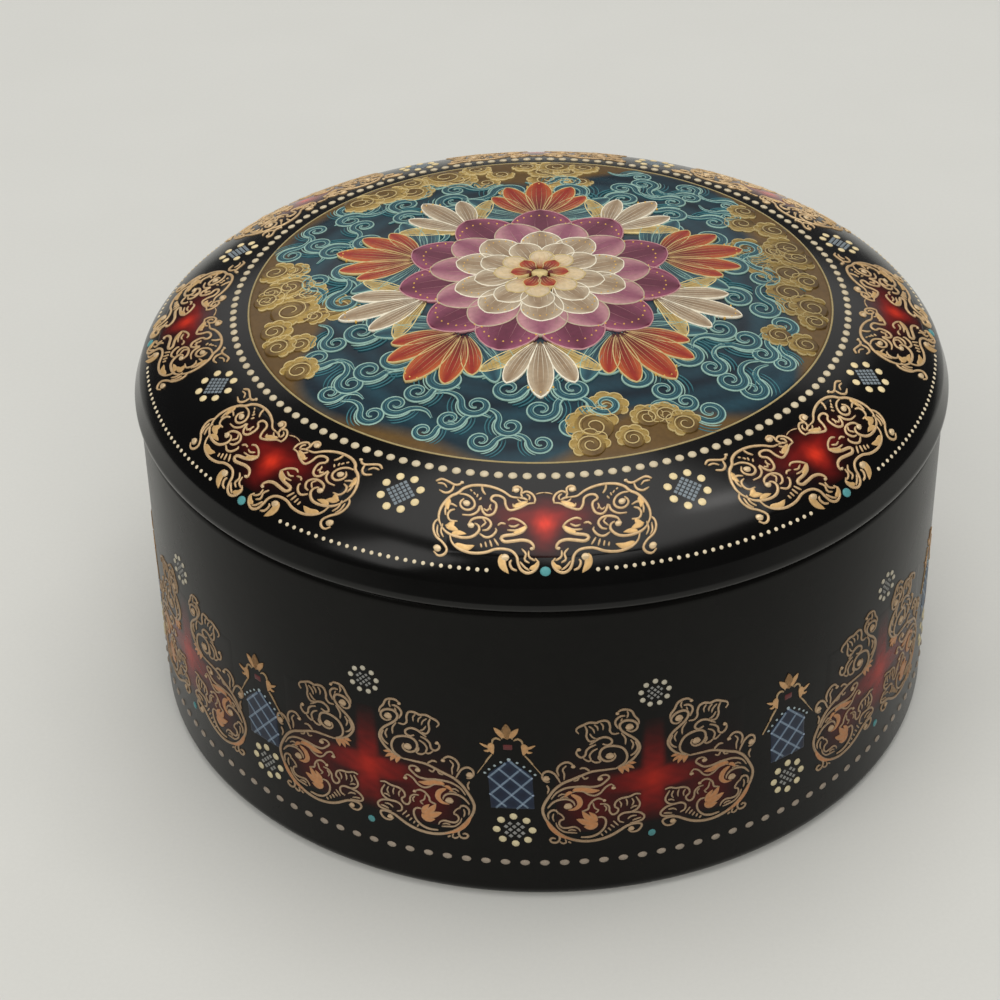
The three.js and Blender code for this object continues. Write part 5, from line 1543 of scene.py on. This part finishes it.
def petal(brush, x, y, turn, inner, outer, width, paints, rise, bend):
    """A broad blunt petal that points to a turn; paints are (root, heart, edge, line)."""
    root, heart, edge, line = paints
    spine = [(0, inner), (bend * 0.6, inner + 0.45 * (outer - inner)), (bend * 0.2, outer)]
    path = smooth_path(turned_to(spine, x, y, turn), 0.4)
    t = np.linspace(0, 1, len(path))
    half = width / 2 * (0.05 + 0.95 * np.sin(np.pi * t ** 1.4) ** 0.62)
    brush.leaf(plan, path, half, heart, edge, rise, 0.04, base=root)
    side = sideways(path) * half[:, None]
    there, back = path + 0.95 * side, path - 0.95 * side
    rim = smooth_path(np.concatenate([there[1:], back[:0:-1]]), 0.35)
    brush.stroke(plan, rim, tapered(len(rim), 0.2, 0.5, 0.5), line, rise + 0.05)
    for share in (-0.55, -0.2, 0.2, 0.55):
        vein = (path + share * side)[2:int(len(path) * 0.82)]
        if len(vein) > 3:
            thin = tapered(len(vein), 0.13, 0.9, 0.1, 0.6)
            brush.stroke(plan, vein, thin, 0.5 * (line + heart), rise + 0.06)


def spray(brush, radius, turn, inner, paints, fans, rise, drop, bend):
    """Petals that fan out from one place; fans are (lean, reach, width), and rise falls by drop."""
    x, y = at(radius, turn)
    outward = math.atan2(x, y)
    for lean, reach, width in fans:
        petal(brush, x, y, outward + lean, inner, reach, width, paints, rise - drop * abs(lean),
              bend * np.sign(lean))


# %% Sprays round the flower
plum_paints = (plum * 0.35, plum, rose, blush)
rose_paints = (plum * 0.8, rose * 0.75, blush, ivory)
ivory_paints = (sand * 0.7, sand, ivory, linear(244, 236, 214))
ivory_inner = (orange * 0.6, linear(214, 190, 150), ivory, ochre_light)
scarlet_paints = (wine, scarlet, orange, ochre_light)
leaf_paints = (night, deep, water, foam)
ochre_paints = (ochre_dark, ochre, ochre_light, linear(236, 214, 150))

green_fans = [(-1.25, 9.5, 2.6), (1.25, 9.5, 2.6), (-0.95, 11.0, 2.8), (0.95, 11.0, 2.8)]
scarlet_fans = [(-0.72, 9.0, 2.6), (0.72, 9.0, 2.6), (-0.4, 10.6, 3.0), (0.4, 10.6, 3.0),
                (0.0, 11.6, 3.6)]
ochre_fans = [(-0.85, 9.5, 2.4), (0.85, 9.5, 2.4)]
ivory_fans = [(-0.42, 9.6, 2.6), (0.42, 9.6, 2.6), (0.0, 11.4, 3.2)]
scarlet_ring = 15.0
ivory_ring = 14.0
sprays = Brush()
for turn in ring_places(5, 0.5):
    spray(sprays, scarlet_ring, turn, 0.5, leaf_paints, green_fans, 0.24, 0.0, 0.9)
    spray(sprays, scarlet_ring, turn, 1.0, scarlet_paints, scarlet_fans, 0.30, 0.04, 0.4)
for turn in ring_places(5):
    spray(sprays, ivory_ring, turn, 1.0, ochre_paints, ochre_fans, 0.25, 0.0, -0.8)
    spray(sprays, ivory_ring, turn, 1.0, ivory_paints, ivory_fans, 0.29, 0.03, 0.4)
dress(sprays.piece("picture_sprays"), "lid")

# %% The flower in the middle
bloom = Brush()
# A hair off the middle, so that every point of the flower has a turn
bloom_y = -1e-3
layers = [
    (11, 5.0, 17.2, 8.2, plum_paints, 0.34),
    (11, 4.2, 13.6, 6.4, rose_paints, 0.40),
    (10, 3.2, 10.8, 5.4, ivory_paints, 0.46),
    (9, 2.4, 8.0, 4.3, ivory_paints, 0.52),
    (8, 1.4, 5.6, 3.2, ivory_inner, 0.58),
    (6, 0.8, 3.6, 2.2, scarlet_paints, 0.64),
]
for k, (count, inner, outer, width, paints, rise) in enumerate(layers):
    for i, turn in enumerate(ring_places(count, 0.5 * (k % 2))):
        petal(bloom, 0.0, bloom_y, turn, inner, outer, width, paints, rise + 0.012 * (i % 2),
              0.5 * (-1) ** i)
bloom.knob(plan, 0.0, bloom_y, 1.0, ochre_light, 0.74)
dress(bloom.piece("picture_bloom"), "lid")

# %% [markdown]
# ## Last touches
#
# Fine gold beads follow the petals' tips, and one thin line closes the picture at its rim. They
# go on last, because raised dots would spoil under a later brush.

# %% Beaded trims of the picture


def trim(x, y, turn, inner, outer, reach, count, size, rise):
    """Small beads on an arc near a petal's tip, from one side of it to the other."""
    t = np.radians(np.linspace(-reach, reach, count))
    middle = 0.5 * (inner + outer)
    drop = turned_to(np.stack([(outer - middle) * 0.62 * np.sin(t),
                               middle + (outer - middle) * 0.72 * np.cos(t)], 1), x, y, turn)
    return [(plan, a, b, size, size, rise) for a, b in drop]


trims = []
for turn in ring_places(11):
    trims += trim(0.0, 0.0, turn, 5.0, 17.2, 62, 9, 0.19, 0.5)
for turn in ring_places(10):
    trims += trim(0.0, 0.0, turn, 3.2, 10.8, 58, 7, 0.16, 0.62)
for turn in ring_places(5, 0.5):
    x, y = at(scarlet_ring, turn)
    trims += trim(x, y, math.atan2(x, y), 6.0, 11.6, 60, 5, 0.17, 0.46)
for turn in ring_places(5):
    x, y = at(ivory_ring, turn)
    trims += trim(x, y, math.atan2(x, y), 6.0, 11.4, 60, 5, 0.16, 0.44)
dress(beads("picture_trims", trims, linear(226, 180, 92), 6), "lid")
rim_line = Brush()
circle = arc(picture_radius, 0, 360, 361)
rim_line.stroke(plan, circle, np.full(361, 0.14), ochre_light * 0.6, 0.06)
dress(rim_line.piece("picture_rim_line"), "lid")

# %% [markdown]
# ## Floor, light and camera
#
# The box stands on a pale warm-grey table. A big soft lamp above it shows in the glaze as one
# broad gleam, and softer ones in front, behind and at the sides even out the light. The camera
# looks down at 35 degrees with a longish lens, which takes in the lid and the drum at once.

# %% Floor
floor_half = 1600.0
floor_points = np.array([[-1, -1, 0], [1, -1, 0], [1, 1, 0], [-1, 1, 0]]) * floor_half
floor = make_piece("table", floor_points, np.array([[0, 1, 2, 3]]))
table_paint = finish(
    "table, pale warm grey", fired,
    Colour=(0.65, 0.65, 0.615), Pooled=(0.635, 0.635, 0.60), Mottle=0.6,
    Grain=1800.0, Speckle=0.05, Gloss=0.6, Waver=0.05, bump=0.000001,
    specular=0.2)
wear(floor, table_paint)

# %% The room
world = bpy.data.worlds.new("room")
bpy.context.scene.world = world
world.use_nodes = True
sky = world.node_tree
background = sky.nodes["Background"]
ray = add_node(sky, "ShaderNodeLightPath").outputs["Is Glossy Ray"]
room_walls = (0.78, 0.79, 0.80, 1.0)
room_in_glaze = (0.16, 0.16, 0.165, 1.0)
room = blend(sky, "MIX", ray, room_walls, room_in_glaze)
sky.links.new(room, background.inputs["Color"])
background.inputs["Strength"].default_value = 0.45


# %% Lamps


def stand(name, data, place, right, up, ahead):
    """Puts a lamp or camera in the scene: at place, looking ahead, its sides along right and up."""
    thing = bpy.data.objects.new(name, data)
    turned_so = Matrix(np.stack([right, up, -ahead], 1).tolist()).to_4x4()
    thing.matrix_world = Matrix.Translation(place) @ turned_so
    bpy.context.scene.collection.objects.link(thing)
    return thing


box_middle = np.array([0, 0, 0.03])


def window(name, place, width, height, power):
    """A rectangular area lamp, in metres and watts, that faces the box with its width level."""
    data = bpy.data.lights.new(name, "AREA")
    data.shape = "RECTANGLE"
    data.size = width
    data.size_y = height
    data.energy = power
    data.color = (1.0, 0.98, 0.95)
    ahead = box_middle - place
    ahead /= np.linalg.norm(ahead)
    right = np.cross(ahead, [0, 0, 1])
    right /= np.linalg.norm(right)
    lamp = stand(name, data, place, right, np.cross(right, ahead), ahead)
    lamp.visible_camera = False
    return lamp


window("soft light above", (0.1, 0.1, 1.5), 1.4, 1.2, 10.0)
window("soft light front", (0.0, -1.3, 0.95), 1.4, 0.8, 11.0).visible_glossy = False
window("wall light behind", (0.0, 1.6, 1.05), 2.0, 0.9, 4.5)
window("window left", (-0.78, -0.62, 1.25), 0.5, 0.8, 2.6)
window("window right", (0.6, 0.28, 1.4), 0.14, 0.3, 0.4)

# %% Camera, from the fit of the rim, foot and ornament circles in the photograph
camera_place = (0.0, -0.2760, 0.2169)
pitch = 0.6125
yaw = -0.0196
roll = -0.0202
focal_pixels = 2599.6
frame_pixels = 1000.0
sensor = 36.0

ahead = np.array([math.sin(yaw) * math.cos(pitch), math.cos(yaw) * math.cos(pitch),
                  -math.sin(pitch)])
level = np.array([math.cos(yaw), -math.sin(yaw), 0.0])
upward = np.cross(level, ahead)
right = math.cos(roll) * level + math.sin(roll) * upward
up = -math.sin(roll) * level + math.cos(roll) * upward
lens = bpy.data.cameras.new("camera")
lens.sensor_width = sensor
lens.lens = focal_pixels / frame_pixels * sensor
lens.clip_start = 0.01
bpy.context.scene.camera = stand("camera", lens, camera_place, right, up, ahead)
bpy.context.scene.view_settings.view_transform = "Standard"
print("lens", round(lens.lens, 2), "mm")
